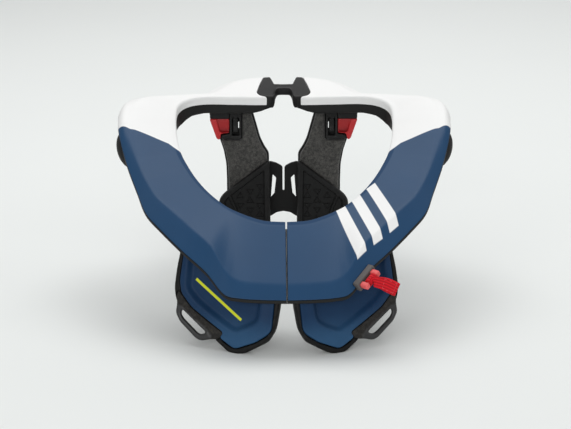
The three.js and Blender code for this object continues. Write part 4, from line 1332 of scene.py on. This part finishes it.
def make_struts(moulding, felt):
    blade = rounded(STRUT_LINE, 3.0)
    inner = CLIP_X - CLIP_WIDTH / 2 + CLIP_SIDE
    window = [(inner, CLIP_LOW + 5), (inner + 0.9, CLIP_LOW + 5), (inner + 0.9, CLIP_LOW + 11), (inner, CLIP_LOW + 11)]
    panel = rounded(offset(STRUT_LINE, -5.0), 4.0)

    def back(flat, depth):
        hollow = fade(depth_in(flat, [panel]) / 2.0)
        return -STRUT_THICKNESS - roll(depth, 0.9) + 1.0 * hollow

    made = relief(blade, lambda flat, depth: roll(depth, 0.8), back, [window], 0.9, 1.5, [(panel, (0.0, 0.7, 1.4, 2.0))])
    both("strut_blade", made, upright(STRUT_FRONT_Y), moulding, "strut", "black_moulding")
    head = [(CLIP_X + CLIP_WIDTH / 2 + GAP, HEAD_FOOT * COLLAR_HEIGHT), (STRUT_HALF_SPAN * 0.985, HEAD_FOOT * COLLAR_HEIGHT),
            (STRUT_HALF_SPAN * 0.985, HEAD_TOP * COLLAR_HEIGHT), (CLIP_X + CLIP_WIDTH / 2 + GAP, HEAD_TOP * COLLAR_HEIGHT)]
    made = relief(rounded(head, 1.5), lambda flat, depth: HEAD_DEPTH + roll(depth, 1.0),
                  lambda flat, depth: 0 * depth, edge=1.0, pitch=1.3)
    both("strut_head", made, upright(STRUT_FRONT_Y), moulding, "strut", "black_moulding")
    line = clipped_felt()

    def face(flat, depth):
        return FELT_THICKNESS - 0.7 + 0.7 * fade(depth / 9.0) + roll(depth, 1.8)

    made = relief(line, face, lambda flat, depth: -roll(depth, 0.8), edge=1.8, pitch=1.3)
    for thing in both("strut_felt", made, upright(FELT_BACK), felt, "strut_pad", "grey_felt", sharp=60):
        swell(thing)


def swell(thing):
    """Fills a pad with a short cloth run. Its back is held, and no point moves past PAD_SWELL."""
    points = np.array([tuple(v.co) for v in thing.data.vertices])
    held = thing.vertex_groups.new(name="back")
    back = (FELT_BACK + SHIFT - FELT_THICKNESS * 0.3) * MM
    held.add(np.flatnonzero(points[:, 1] > back).tolist(), 1.0, "REPLACE")
    cloth = thing.modifiers.new("cloth", "CLOTH")
    cloth.settings.vertex_group_mass = held.name
    cloth.settings.use_pressure = True
    cloth.settings.uniform_pressure_force = PAD_PRESSURE
    cloth.settings.effector_weights.gravity = 0
    scene = bpy.context.scene
    for step in range(1, PAD_STEPS + 1):
        scene.frame_set(step)
    made = thing.evaluated_get(bpy.context.evaluated_depsgraph_get())
    moves = np.nan_to_num(np.array([tuple(v.co) for v in made.data.vertices]) - points)
    lengths = np.linalg.norm(moves, axis=1, keepdims=True)
    moves *= PAD_SWELL * MM / (PAD_SWELL * MM + lengths)
    thing.modifiers.clear()
    thing.vertex_groups.clear()
    scene.frame_set(1)
    thing.data.vertices.foreach_set("co", (points + moves).ravel())
    smooth(thing.data, 60)


def clipped_felt():
    """The felt's outline: the strut's, inset, above the back pad and beside the adjuster."""
    line = offset(STRUT_LINE, -FELT_INSET)
    foot = FELT_FOOT * COLLAR_HEIGHT
    notch = (FELT_NOTCH[0] * STRUT_HALF_SPAN, FELT_NOTCH[1] * COLLAR_HEIGHT)
    left = [p for p in line[:6] if p[1] > foot]
    right = [p for p in line[8:] if foot < p[1] < notch[1]]
    edge = line[12]
    return rounded([*left, (line[5][0], foot), (line[8][0] - 0.2, foot), *right,
                    (edge[0] - 0.6, notch[1]), notch, (notch[0], line[0][1])], 2.4)


def make_adjusters(moulding, red):
    x0, x1 = CLIP_X - CLIP_WIDTH / 2, CLIP_X + CLIP_WIDTH / 2
    low, high = CLIP_Z - CLIP_HEIGHT / 2, HEAD_TOP * COLLAR_HEIGHT
    left, right = x0 + CLIP_SIDE, x1 - CLIP_SIDE
    foot = CLIP_LOW + 3
    slit = [(left, CLIP_HIGH), (left, CLIP_LOW), (right, CLIP_LOW), (right, CLIP_HIGH), (right - CLIP_SLIT, CLIP_HIGH),
            (right - CLIP_SLIT, foot), (left + CLIP_SLIT, foot), (left + CLIP_SLIT, CLIP_HIGH)]
    tongue = [(left + CLIP_SLIT, foot), (right - CLIP_SLIT, foot), (right - CLIP_SLIT, CLIP_HIGH), (left + CLIP_SLIT, CLIP_HIGH)]

    def front(flat, depth):
        on_tongue = depth_in(flat, [tongue]) > -0.05
        rise = 1.1 * np.exp(-((flat[:, 1] - foot - 2.2) / 1.6) ** 2)
        return CLIP_DEPTH - 1.2 * on_tongue + rise * on_tongue + roll(depth, 0.6)

    frame_line = [(x0, low), (x1 + WEDGE_STOP[0], low + 0.4), (x1 + WEDGE_STOP[0], low + WEDGE_STOP[1] - 1.4),
                  (x1, low + WEDGE_STOP[1]), (x1, high), (x0, high)]
    made = relief(rounded(frame_line, 1.2), front, lambda flat, depth: 0 * depth, [slit], 0.6, 0.8)
    both("adjuster_frame", made, upright(FELT_BACK), moulding, "adjuster_clip", "black_moulding")
    make_wedge(red)


def make_wedge(red):
    x0 = CLIP_X + CLIP_WIDTH / 2 + GAP
    top = HEAD_FOOT * COLLAR_HEIGHT - GAP
    line = [(x0 + share * WEDGE_WIDTH, top - fall * WEDGE_HEIGHT) for share, fall in WEDGE_OUTLINE]
    pocket = [(x0 + share * WEDGE_WIDTH, top - fall * WEDGE_HEIGHT) for share, fall in WEDGE_POCKET]
    pocket = rounded(pocket, 1.2)

    def front(flat, depth):
        inside = fade(depth_in(flat, [pocket]) / 1.2)
        fall = np.clip((top - flat[:, 1]) / WEDGE_HEIGHT, 0, 1)
        return WEDGE_DEPTH - inside * (1.0 + 2.4 * fall) + roll(depth, 0.9)

    made = relief(rounded(line, 1.6), front, lambda flat, depth: -roll(depth, 0.6), (), 0.9, 0.8,
                  [(pocket, (0.0, 0.6, 1.2))])
    zone = 1 - fade((depth_in(made[2], [pocket]) + 0.2) / 0.8)
    both("red_wedge", made, upright(FELT_BACK), red, "adjuster_wedge", "red_moulding", {"zone": zone})


def make_back_pads(moulding):
    pocket = rounded(offset(BACK_PAD_LINE, -BACK_PAD_RIM), 2.5)
    rib = scaled(BACK_PAD_RIB, BACK_PAD_HALF_SPAN, BACK_PAD_HEIGHT)

    def rib_height(flat):
        near = np.full(len(flat), 1e9)
        for a, b in zip(rib, rib[1:]):
            run = b - a
            share = np.clip(((flat - a) @ run) / (run @ run), 0, 1)
            near = np.minimum(near, np.linalg.norm(flat - a - share[:, None] * run, axis=1))
        return 1.9 * (1 - fade((near - 0.7) / 1.2))

    def front(flat, depth):
        inside = depth_in(flat, [pocket])
        rim = BACK_PAD_THICKNESS + roll(depth, 1.6) - 0.5 * fade(1 - np.abs(inside + 0.4) / 1.2)
        share = fade(inside / 1.8)
        return rim * (1 - share) + (BACK_PAD_FLOOR + rib_height(flat)) * share

    side_lines = [np.array([p + (w, 0) for p in rib] + [p - (w, 0) for p in rib[::-1]]) for w in (0.8, 1.9)]
    made = relief(rounded(BACK_PAD_LINE, 4.0), front, lambda flat, depth: -roll(depth, 1.2), (), 1.6, 1.2,
                  [(pocket, (-0.8, 0.0, 0.6, 1.2, 1.8)), *((line, (0.0,)) for line in side_lines)])
    both("back_pad_moulding", made, upright(PAD_BACK), moulding, "back_pad", "black_moulding", tucked=False, floor=True)


def make_link_plate(moulding):
    def spot(pair):
        return pair[0] * LINK_PLATE_REACH, pair[1] * BACK_PAD_HEIGHT

    slot_half = LINK_PLATE_SLOT / 2
    slot_foot = LINK_PLATE_SLOT_FOOT * BACK_PAD_HEIGHT
    half = [spot(p) for p in LINK_PLATE_TOP] + [(slot_half, spot(LINK_PLATE_TOP[-1])[1] - 1.5), (slot_half, slot_foot + 0.8)]
    arch = [spot(p) for p in LINK_PLATE_ARCH]
    right_side = half + [(-x, y) for x, y in reversed(half)]
    outline = right_side + [(-x, y) for x, y in reversed(arch[1:])] + arch
    window = rounded([spot(p) for p in LINK_PLATE_WINDOW], 0.9)
    made = relief(rounded(outline, 1.1), lambda flat, depth: LINK_PLATE_THICKNESS + roll(depth, 0.5),
                  lambda flat, depth: -roll(depth, 0.5), [window, window * (-1, 1)], 0.5, 0.9)
    points, faces, plan, depth = made
    back = STRUT_FRONT_Y + STRUT_THICKNESS + GAP + LINK_PLATE_THICKNESS
    thing = piece("link_sheet", place(points, upright(back)), faces, moulding, None, None, None, plan=plan,
                  marks={"edge": edge_mark(depth, 0.8)})
    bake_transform(thing)
    attach(thing, None, ["left_link_plate", "right_link_plate"], "black_moulding")


# Chest pads

def chest_line(points, radius):
    tall = CHEST_RISE / CHEST_DROP
    return rounded(scaled([(x, tall if y > 1 else y) for x, y in points], CHEST_WIDTH, CHEST_DROP), radius)


def make_chest_pads(moulding, faces_look, loop):
    plane = chest_plane()
    rim = chest_line(CHEST_RIM_OUTLINE, 4.0)
    face = chest_line(CHEST_FACE_OUTLINE, 3.0)
    recess = chest_line(CHEST_RECESS_OUTLINE, 5.0)
    strap = chest_line(LOOP_OUTLINE, 2.5)
    strap_slot = chest_line(LOOP_SLOT, 1.6)

    def rim_top(flat, depth):
        beside = -np.maximum(depth_in(flat, [face]), depth_in(flat, [strap])) - GAP
        bead = RIM_PROUD + roll(depth, 1.7) + np.where(beside > 0, roll(beside, 0.8), 0)
        return np.where(beside > 0, bead, 0.0)

    made = relief(rim, rim_top, lambda flat, depth: -RIM_BACK - roll(depth, 2.6), (), 1.7, 1.4,
                  [(face, (-0.3, -0.36, -0.7, -1.1)), (strap, (-0.3, -0.36, -0.7, -1.1))])
    both("chest_rim_moulding", made, plane, moulding, "chest_rim", "black_moulding", floor=True)

    def face_top(flat, depth):
        inside = depth_in(flat, [recess])
        ledge = FACE_EDGE + (FACE_CREST - FACE_EDGE) * fade((LEDGE_WIDTH + inside) / LEDGE_WIDTH)
        return ledge - RECESS_DEPTH * fade(inside / RECESS_SLOPE) + roll(depth, 1.0)

    made = relief(face, face_top, lambda flat, depth: GAP + 0 * depth, (), 1.0, 1.25,
                  [(recess, (-5.0, -3.0, -1.5, 0.0, 1.0, 2.0, 3.0, 4.0, 5.0, 6.0))])
    both("chest_face", made, plane, faces_look, "chest_shell", "navy_moulding", floor=True)

    def loop_top(flat, depth):
        beside = -depth_in(flat, [face])
        zone = fuzzy_zone(flat, face, strap_slot)
        bar = LOOP_THICKNESS + roll(depth, 1.6)
        return bar * (1 - zone) + (2.5 + roll(depth, 0.8)) * zone + 0 * beside

    line = strap
    made = relief(line, loop_top, lambda flat, depth: GAP - roll(depth, 0.8), [strap_slot], 1.6, 0.9)
    zone = fuzzy_zone(made[2], face, strap_slot)
    both("strap_bar", made, plane, loop, "strap_loop", "black_gloss", {"zone": zone}, floor=True)


def fuzzy_zone(flat, face, strap_slot):
    """1 between the pad's face and the slot, 0 on the bar outside the slot."""
    to_face = -depth_in(flat, [face])
    to_slot = -depth_in(flat, [strap_slot])
    return fade((to_slot - to_face + 4.0) / 1.6) * (1 - fade((to_face - 7.0) / 2.0))


# Latch

def make_latch(grey, highlight_red):
    size = (LATCH.length, LATCH_WIDTH, LATCH_HEIGHT)
    points, faces = rounded_box(size, (0, 0, 0), 1.1)
    housing = piece("latch_bar", LATCH.at(points), faces, grey, None, None, None)
    spread = LATCH.length / 2 - LUG_WIDTH / 2 - 2
    front = LATCH_WIDTH / 2
    cutters = []
    for side in (-1, 1):
        size = (LUG_WIDTH + 2 * GAP, 2 * (LUG_INSERT + GAP), LUG_HEIGHT + 2 * GAP)
        some, others = rounded_box(size, (side * spread, front, 0), 0.5, 2)
        cutters.append(cutter((f"lug_cut_{side}", LATCH.at(some), others)))
    cut(housing, cutters)
    attach(housing, "left_half", ["latch_housing"], "grey_moulding")
    pin_y = front + LUG_REACH * 0.58
    parts = []
    for side in (-1, 1):
        size = (LUG_WIDTH, LUG_REACH + LUG_INSERT, LUG_HEIGHT)
        parts.append(rounded_box(size, (side * spread, front + (LUG_REACH - LUG_INSERT) / 2, 0), 1.3, 4))
    parts.append(rod(PIN_RADIUS, spread * 2, pin_y))
    points, faces = joined(parts)
    piece("latch_lugs", LATCH.at(points), faces, highlight_red, "latch_pull", ["latch_slider"], "salmon_moulding")
    return spread, pin_y


def rod(radius, length, y, turns=24):
    points, faces = [], []
    for x in (-length / 2, length / 2):
        for j in range(turns):
            b = 2 * math.pi * j / turns
            points.append((x, y + radius * math.cos(b), radius * math.sin(b)))
    for j in range(turns):
        k = (j + 1) % turns
        faces.append((j, k, turns + k, turns + j))
    faces.append(tuple(reversed(range(turns))))
    faces.append(tuple(range(turns, 2 * turns)))
    if volume(points, faces) < 0:
        faces = [tuple(reversed(face)) for face in faces]
    return points, faces


TAB_END = (0.93, -0.12, -0.35)
TAB_SECTION = 20


class TabRoute:
    """The web tab's middle line, and its width and turn along it."""

    def __init__(self, spread, pin_y):
        self.wrap = spread * 2 - LUG_WIDTH - 2 * GAP
        start = LATCH.at([(0, pin_y + PIN_RADIUS, 0)])[0]
        end = start + np.array(TAB_END) / np.linalg.norm(TAB_END) * TAB_LENGTH
        lift = start + LATCH.outward * TAB_LENGTH * 0.2 + LATCH.along * TAB_LENGTH * 0.02
        self.spots = [start - LATCH.outward * 0.5, lift, (start + end) / 2 + (0, -1, 1), end]

    def frame(self, t):
        spot = curve_at(self.spots, t * 3)
        ahead = curve_at(self.spots, min(3, t * 3 + 0.02)) - curve_at(self.spots, max(0, t * 3 - 0.02))
        ahead /= np.linalg.norm(ahead)
        share = fade(t * 3.0)
        wide = LATCH.along * (1 - share) + np.array((0.12, 0.3, 0.95)) * share
        wide = wide - ahead * float(wide @ ahead)
        wide /= np.linalg.norm(wide)
        return spot, ahead, wide, np.cross(ahead, wide)

    def width(self, t):
        neck = self.wrap + (TAB_WIDTH * 0.80 - self.wrap) * fade(t / 0.35)
        return float(neck + (TAB_WIDTH - TAB_WIDTH * 0.80) * fade((t - 0.4) / 0.4))

    def thickness(self, t):
        return float(TAB_THICKNESS * (0.72 + 0.28 * fade((t - 0.55) / 0.12)))


def make_tab(webbing, thread, spread, pin_y):
    route = TabRoute(spread, pin_y)
    points, plan, faces = [], [], []
    steps = 56
    for i in range(steps + 1):
        t = i / steps
        spot, ahead, wide, flat = route.frame(t)
        end_round = math.sqrt(max(0.0, 1 - max(0.0, (t - 0.955) / 0.045) ** 2)) if t < 1 else 0.15
        for j in range(TAB_SECTION):
            b = 2 * math.pi * j / TAB_SECTION
            a, c = math.cos(b), math.sin(b)
            u = math.copysign(abs(a) ** 0.55, a)
            w = math.copysign(abs(c) ** 0.75, c)
            half = route.width(t) / 2
            points.append(spot + wide * u * half * (0.9 + 0.1 * end_round) + flat * w * route.thickness(t) / 2 * max(end_round, 0.15))
            plan.append((t * TAB_LENGTH, u * half))
    for i in range(steps):
        for j in range(TAB_SECTION):
            k = (j + 1) % TAB_SECTION
            a = i * TAB_SECTION
            faces.append((a + j, a + k, a + TAB_SECTION + k, a + TAB_SECTION + j))
    faces.append(tuple(reversed(range(TAB_SECTION))))
    faces.append(tuple(steps * TAB_SECTION + j for j in range(TAB_SECTION)))
    if volume(points, faces) < 0:
        faces = [tuple(reversed(face)) for face in faces]
    eye_points, eye_faces, eye_plan = eye(route.wrap, pin_y)
    first = len(points)
    points += eye_points
    plan += eye_plan
    faces += [tuple(first + i for i in face) for face in eye_faces]
    piece("woven_tab", points, faces, webbing, "latch_pull", ["pull_tab"], "red_webbing", plan=plan, sharp=70)
    make_stitches(thread, route)


def eye(wrap, pin_y, turns=40):
    """The loop of webbing round the pin."""
    inner, outer = PIN_RADIUS + 0.05, PIN_RADIUS + GAP + 1.6
    ring = [(-wrap / 2 + 0.3, inner), (-wrap / 2, inner + 0.5), (-wrap / 2, outer - 0.5), (-wrap / 2 + 0.4, outer)]
    across = [ring[3]] + [(-wrap / 2 + wrap * k / 8, outer) for k in range(1, 8)]
    profile = ring[:3] + across + [(-x, r) for x, r in reversed(ring)]
    count = len(profile)
    points, plan, faces = [], [], []
    for j in range(turns):
        b = 2 * math.pi * j / turns
        for x, r in profile:
            points.append(tuple(LATCH.at([(x, pin_y + r * math.cos(b), r * math.sin(b))])[0]))
            plan.append((-outer * b, x))
    for j in range(turns):
        for i in range(count):
            a, b = j * count + i, j * count + (i + 1) % count
            c, d = ((j + 1) % turns) * count + (i + 1) % count, ((j + 1) % turns) * count + i
            faces.append((a, b, c, d))
    if volume(points, faces) < 0:
        faces = [tuple(reversed(face)) for face in faces]
    return points, faces, plan


# Repeats: a shape set on marked spots by Geometry Nodes

class Nodes:
    """A Geometry Nodes tree whose nodes are made by one method."""

    def __init__(self, name, sizes):
        self.tree = bpy.data.node_groups.new(name, "GeometryNodeTree")
        self.tree.interface.new_socket("Geometry", in_out="OUTPUT", socket_type="NodeSocketGeometry")
        self.tree.interface.new_socket("Geometry", in_out="INPUT", socket_type="NodeSocketGeometry")
        self.keys = {}
        for label, value in sizes.items():
            made = self.tree.interface.new_socket(label, in_out="INPUT", socket_type="NodeSocketFloat")
            made.default_value = value
            self.keys[label] = made.identifier
        self.given = self.tree.nodes.new("NodeGroupInput")

    def add(self, kind, settings=None, **inputs):
        made = self.tree.nodes.new(kind)
        for key, setting in (settings or {}).items():
            setattr(made, key, setting)
        for key, value in inputs.items():
            socket = made.inputs[key.replace("_", " ")]
            if isinstance(value, bpy.types.NodeSocket):
                self.tree.links.new(value, socket)
            else:
                socket.default_value = value
        return made.outputs[0]

    def end(self, shape, material, turn):
        on_spots = self.add("GeometryNodeInstanceOnPoints", None, Points=self.given.outputs["Geometry"],
                            Instance=shape, Rotation=turn)
        whole = self.add("GeometryNodeRealizeInstances", None, Geometry=on_spots)
        coloured = self.add("GeometryNodeSetMaterial", None, Geometry=whole, Material=material)
        result = self.tree.nodes.new("NodeGroupOutput")
        self.tree.links.new(coloured, result.inputs["Geometry"])


def repeated(name, spots, marks, nodes, sizes, sharp=60.0):
    """The tree's shape on each spot, as one plain mesh."""
    data = bpy.data.meshes.new(name + "_spots")
    data.from_pydata([tuple(p) for p in spots], [], [])
    for mark, (kind, values) in marks.items():
        layer = data.attributes.new(mark, kind, "POINT")
        layer.data.foreach_set("vector" if kind == "FLOAT_VECTOR" else "value", np.array(values, float).ravel())
    thing = bpy.data.objects.new(name, data)
    bpy.context.scene.collection.objects.link(thing)
    tool = thing.modifiers.new("repeat", "NODES")
    tool.node_group = nodes.tree
    for label, value in sizes.items():
        tool[nodes.keys[label]] = value
    bpy.context.view_layer.update()
    made = thing.evaluated_get(bpy.context.evaluated_depsgraph_get())
    mesh = bpy.data.meshes.new_from_object(made)
    thing.modifiers.clear()
    thing.data = mesh
    bpy.data.meshes.remove(data)
    smooth(mesh, sharp)
    return thing


TRIANGLE_SIDE = 6.0
TRIANGLE_BEAD = 0.6
TRIANGLE_PITCH = (8.9, 8.8)
STITCH_LENGTH = 1.7
STITCH_RADIUS = 0.22
STITCH_GAP = 0.8


def triangle_nodes(material):
    """A bead bent to a triangle, standing upright and turned by its mark."""
    nodes = Nodes("raised_triangles", {"Side": TRIANGLE_SIDE * MM, "Bead": TRIANGLE_BEAD * MM})
    radius = nodes.add("ShaderNodeMath", {"operation": "DIVIDE"}, Value=nodes.given.outputs["Side"])
    radius.node.inputs[1].default_value = math.sqrt(3)
    ring = nodes.add("GeometryNodeMeshCircle", None, Vertices=3, Radius=radius)
    line = nodes.add("GeometryNodeMeshToCurve", None, Mesh=ring)
    bead = nodes.add("GeometryNodeCurvePrimitiveCircle", None, Resolution=6, Radius=nodes.given.outputs["Bead"])
    shape = nodes.add("GeometryNodeCurveToMesh", None, Curve=line, Profile_Curve=bead)
    turn = nodes.add("GeometryNodeInputNamedAttribute", {"data_type": "FLOAT"}, Name="turn")
    rotation = nodes.add("ShaderNodeCombineXYZ", None, X=math.pi / 2, Y=turn)
    nodes.end(shape, material, rotation)
    return nodes


def make_triangles(moulding):
    """Rows of raised triangles on the floor of each back pad."""
    inside = rounded(offset(BACK_PAD_LINE, -BACK_PAD_RIM - TRIANGLE_SIDE * 0.75), 2.0)
    rib_foot = scaled(BACK_PAD_RIB, BACK_PAD_HALF_SPAN, BACK_PAD_HEIGHT)
    spots, turns = [], []
    for column in range(5):
        for row in range(12):
            x = 21.5 + column * TRIANGLE_PITCH[0]
            z = 6.0 + row * TRIANGLE_PITCH[1] + (column % 2) * TRIANGLE_PITCH[1] / 2
            rib_x = np.interp(z, rib_foot[::-1, 1], rib_foot[::-1, 0])
            if depth_in([(x, z)], [inside])[0] > 0 and x < rib_x - 5:
                spots.append((x, z))
                turns.append(math.pi / 2 if (row + column) % 2 else -math.pi / 2)
    nodes = triangle_nodes(moulding)
    y = (PAD_BACK - BACK_PAD_FLOOR - 0.2 + SHIFT) * MM
    for side, mirrored in SIDES:
        sign = -1 if mirrored else 1
        places = [(sign * x * MM, y, z * MM) for x, z in spots]
        thing = repeated(f"{side}_pad_triangles", places, {"turn": ("FLOAT", turns)}, nodes,
                         {"Side": TRIANGLE_SIDE * MM, "Bead": TRIANGLE_BEAD * MM})
        attach(thing, f"{side}_half", None, "black_moulding")


def stitch_nodes(material):
    """A short thread lying along its mark."""
    nodes = Nodes("stitches", {"Length": STITCH_LENGTH * MM, "Radius": STITCH_RADIUS * MM})
    thread = nodes.add("GeometryNodeMeshCylinder", None, Vertices=8, Radius=nodes.given.outputs["Radius"],
                       Depth=nodes.given.outputs["Length"])
    along = nodes.add("GeometryNodeInputNamedAttribute", {"data_type": "FLOAT_VECTOR"}, Name="along")
    turn = nodes.add("FunctionNodeAlignRotationToVector", {"axis": "Z"}, Vector=along)
    nodes.end(thread, material, turn)
    return nodes


def make_stitches(thread, route):
    """Two rows across the tab and one down each side of its folded end."""
    spots, along = [], []

    def add(t, side, direction):
        spot, ahead, wide, flat = route.frame(t)
        half = route.width(t) / 2
        for face in (-1, 1):
            high = route.thickness(t) / 2 * (1 - abs(side) ** 4 * 0.35)
            spots.append(spot + wide * side * half + flat * face * high)
            along.append(wide if direction == "across" else ahead)

    pitch = STITCH_LENGTH + STITCH_GAP
    for t in (0.60, 0.92):
        count = int(route.width(t) * 0.72 / pitch)
        for k in range(count + 1):
            add(t, (-0.5 + k / count) * 1.3, "across")
    for side in (-0.72, 0.72):
        count = int(TAB_LENGTH * 0.28 / pitch)
        for k in range(count + 1):
            add(0.63 + 0.26 * k / count, side, "ahead")
    world = (np.array(spots) + (0, SHIFT, 0)) * MM
    thing = repeated("tab_stitches", world, {"along": ("FLOAT_VECTOR", along)}, stitch_nodes(thread),
                     {"Length": STITCH_LENGTH * MM, "Radius": STITCH_RADIUS * MM})
    attach(thing, "latch_pull", None, "red_webbing")


# Assembly

make_camera()
make_studio()
black = moulding_look("black_moulding_fine", (0.011, 0.011, 0.011), 0.36, 0.05)
rim_black = moulding_look("chest_rim_moulding_fine", (0.003, 0.003, 0.003), 0.46, 0.05)
link_black = moulding_look("link_moulding", (0.006, 0.006, 0.006), 0.48, 0.06)
foam = foam_look()
make_collar(paint_look(), foam)
make_shoulder_pads(foam)
make_link(link_black)
make_struts(black, felt_look())
make_adjusters(black, wedge_look())
make_back_pads(black)
make_triangles(black)
make_link_plate(black)
make_chest_pads(rim_black, {"left": chest_look("navy_plain", False), "right": chest_look("navy_striped", True)},
                loop_look())
# The lugs' pale salmon red stands in for specular highlights on red plastic: painted highlight.
lug_spread, latch_pin_y = make_latch(moulding_look("housing_grey", (0.105, 0.095, 0.092), 0.46),
                                     moulding_look("lug_salmon", (0.78, 0.13, 0.13), 0.36, 0.03))
make_tab(webbing_look(), thread_look(), lug_spread, latch_pin_y)
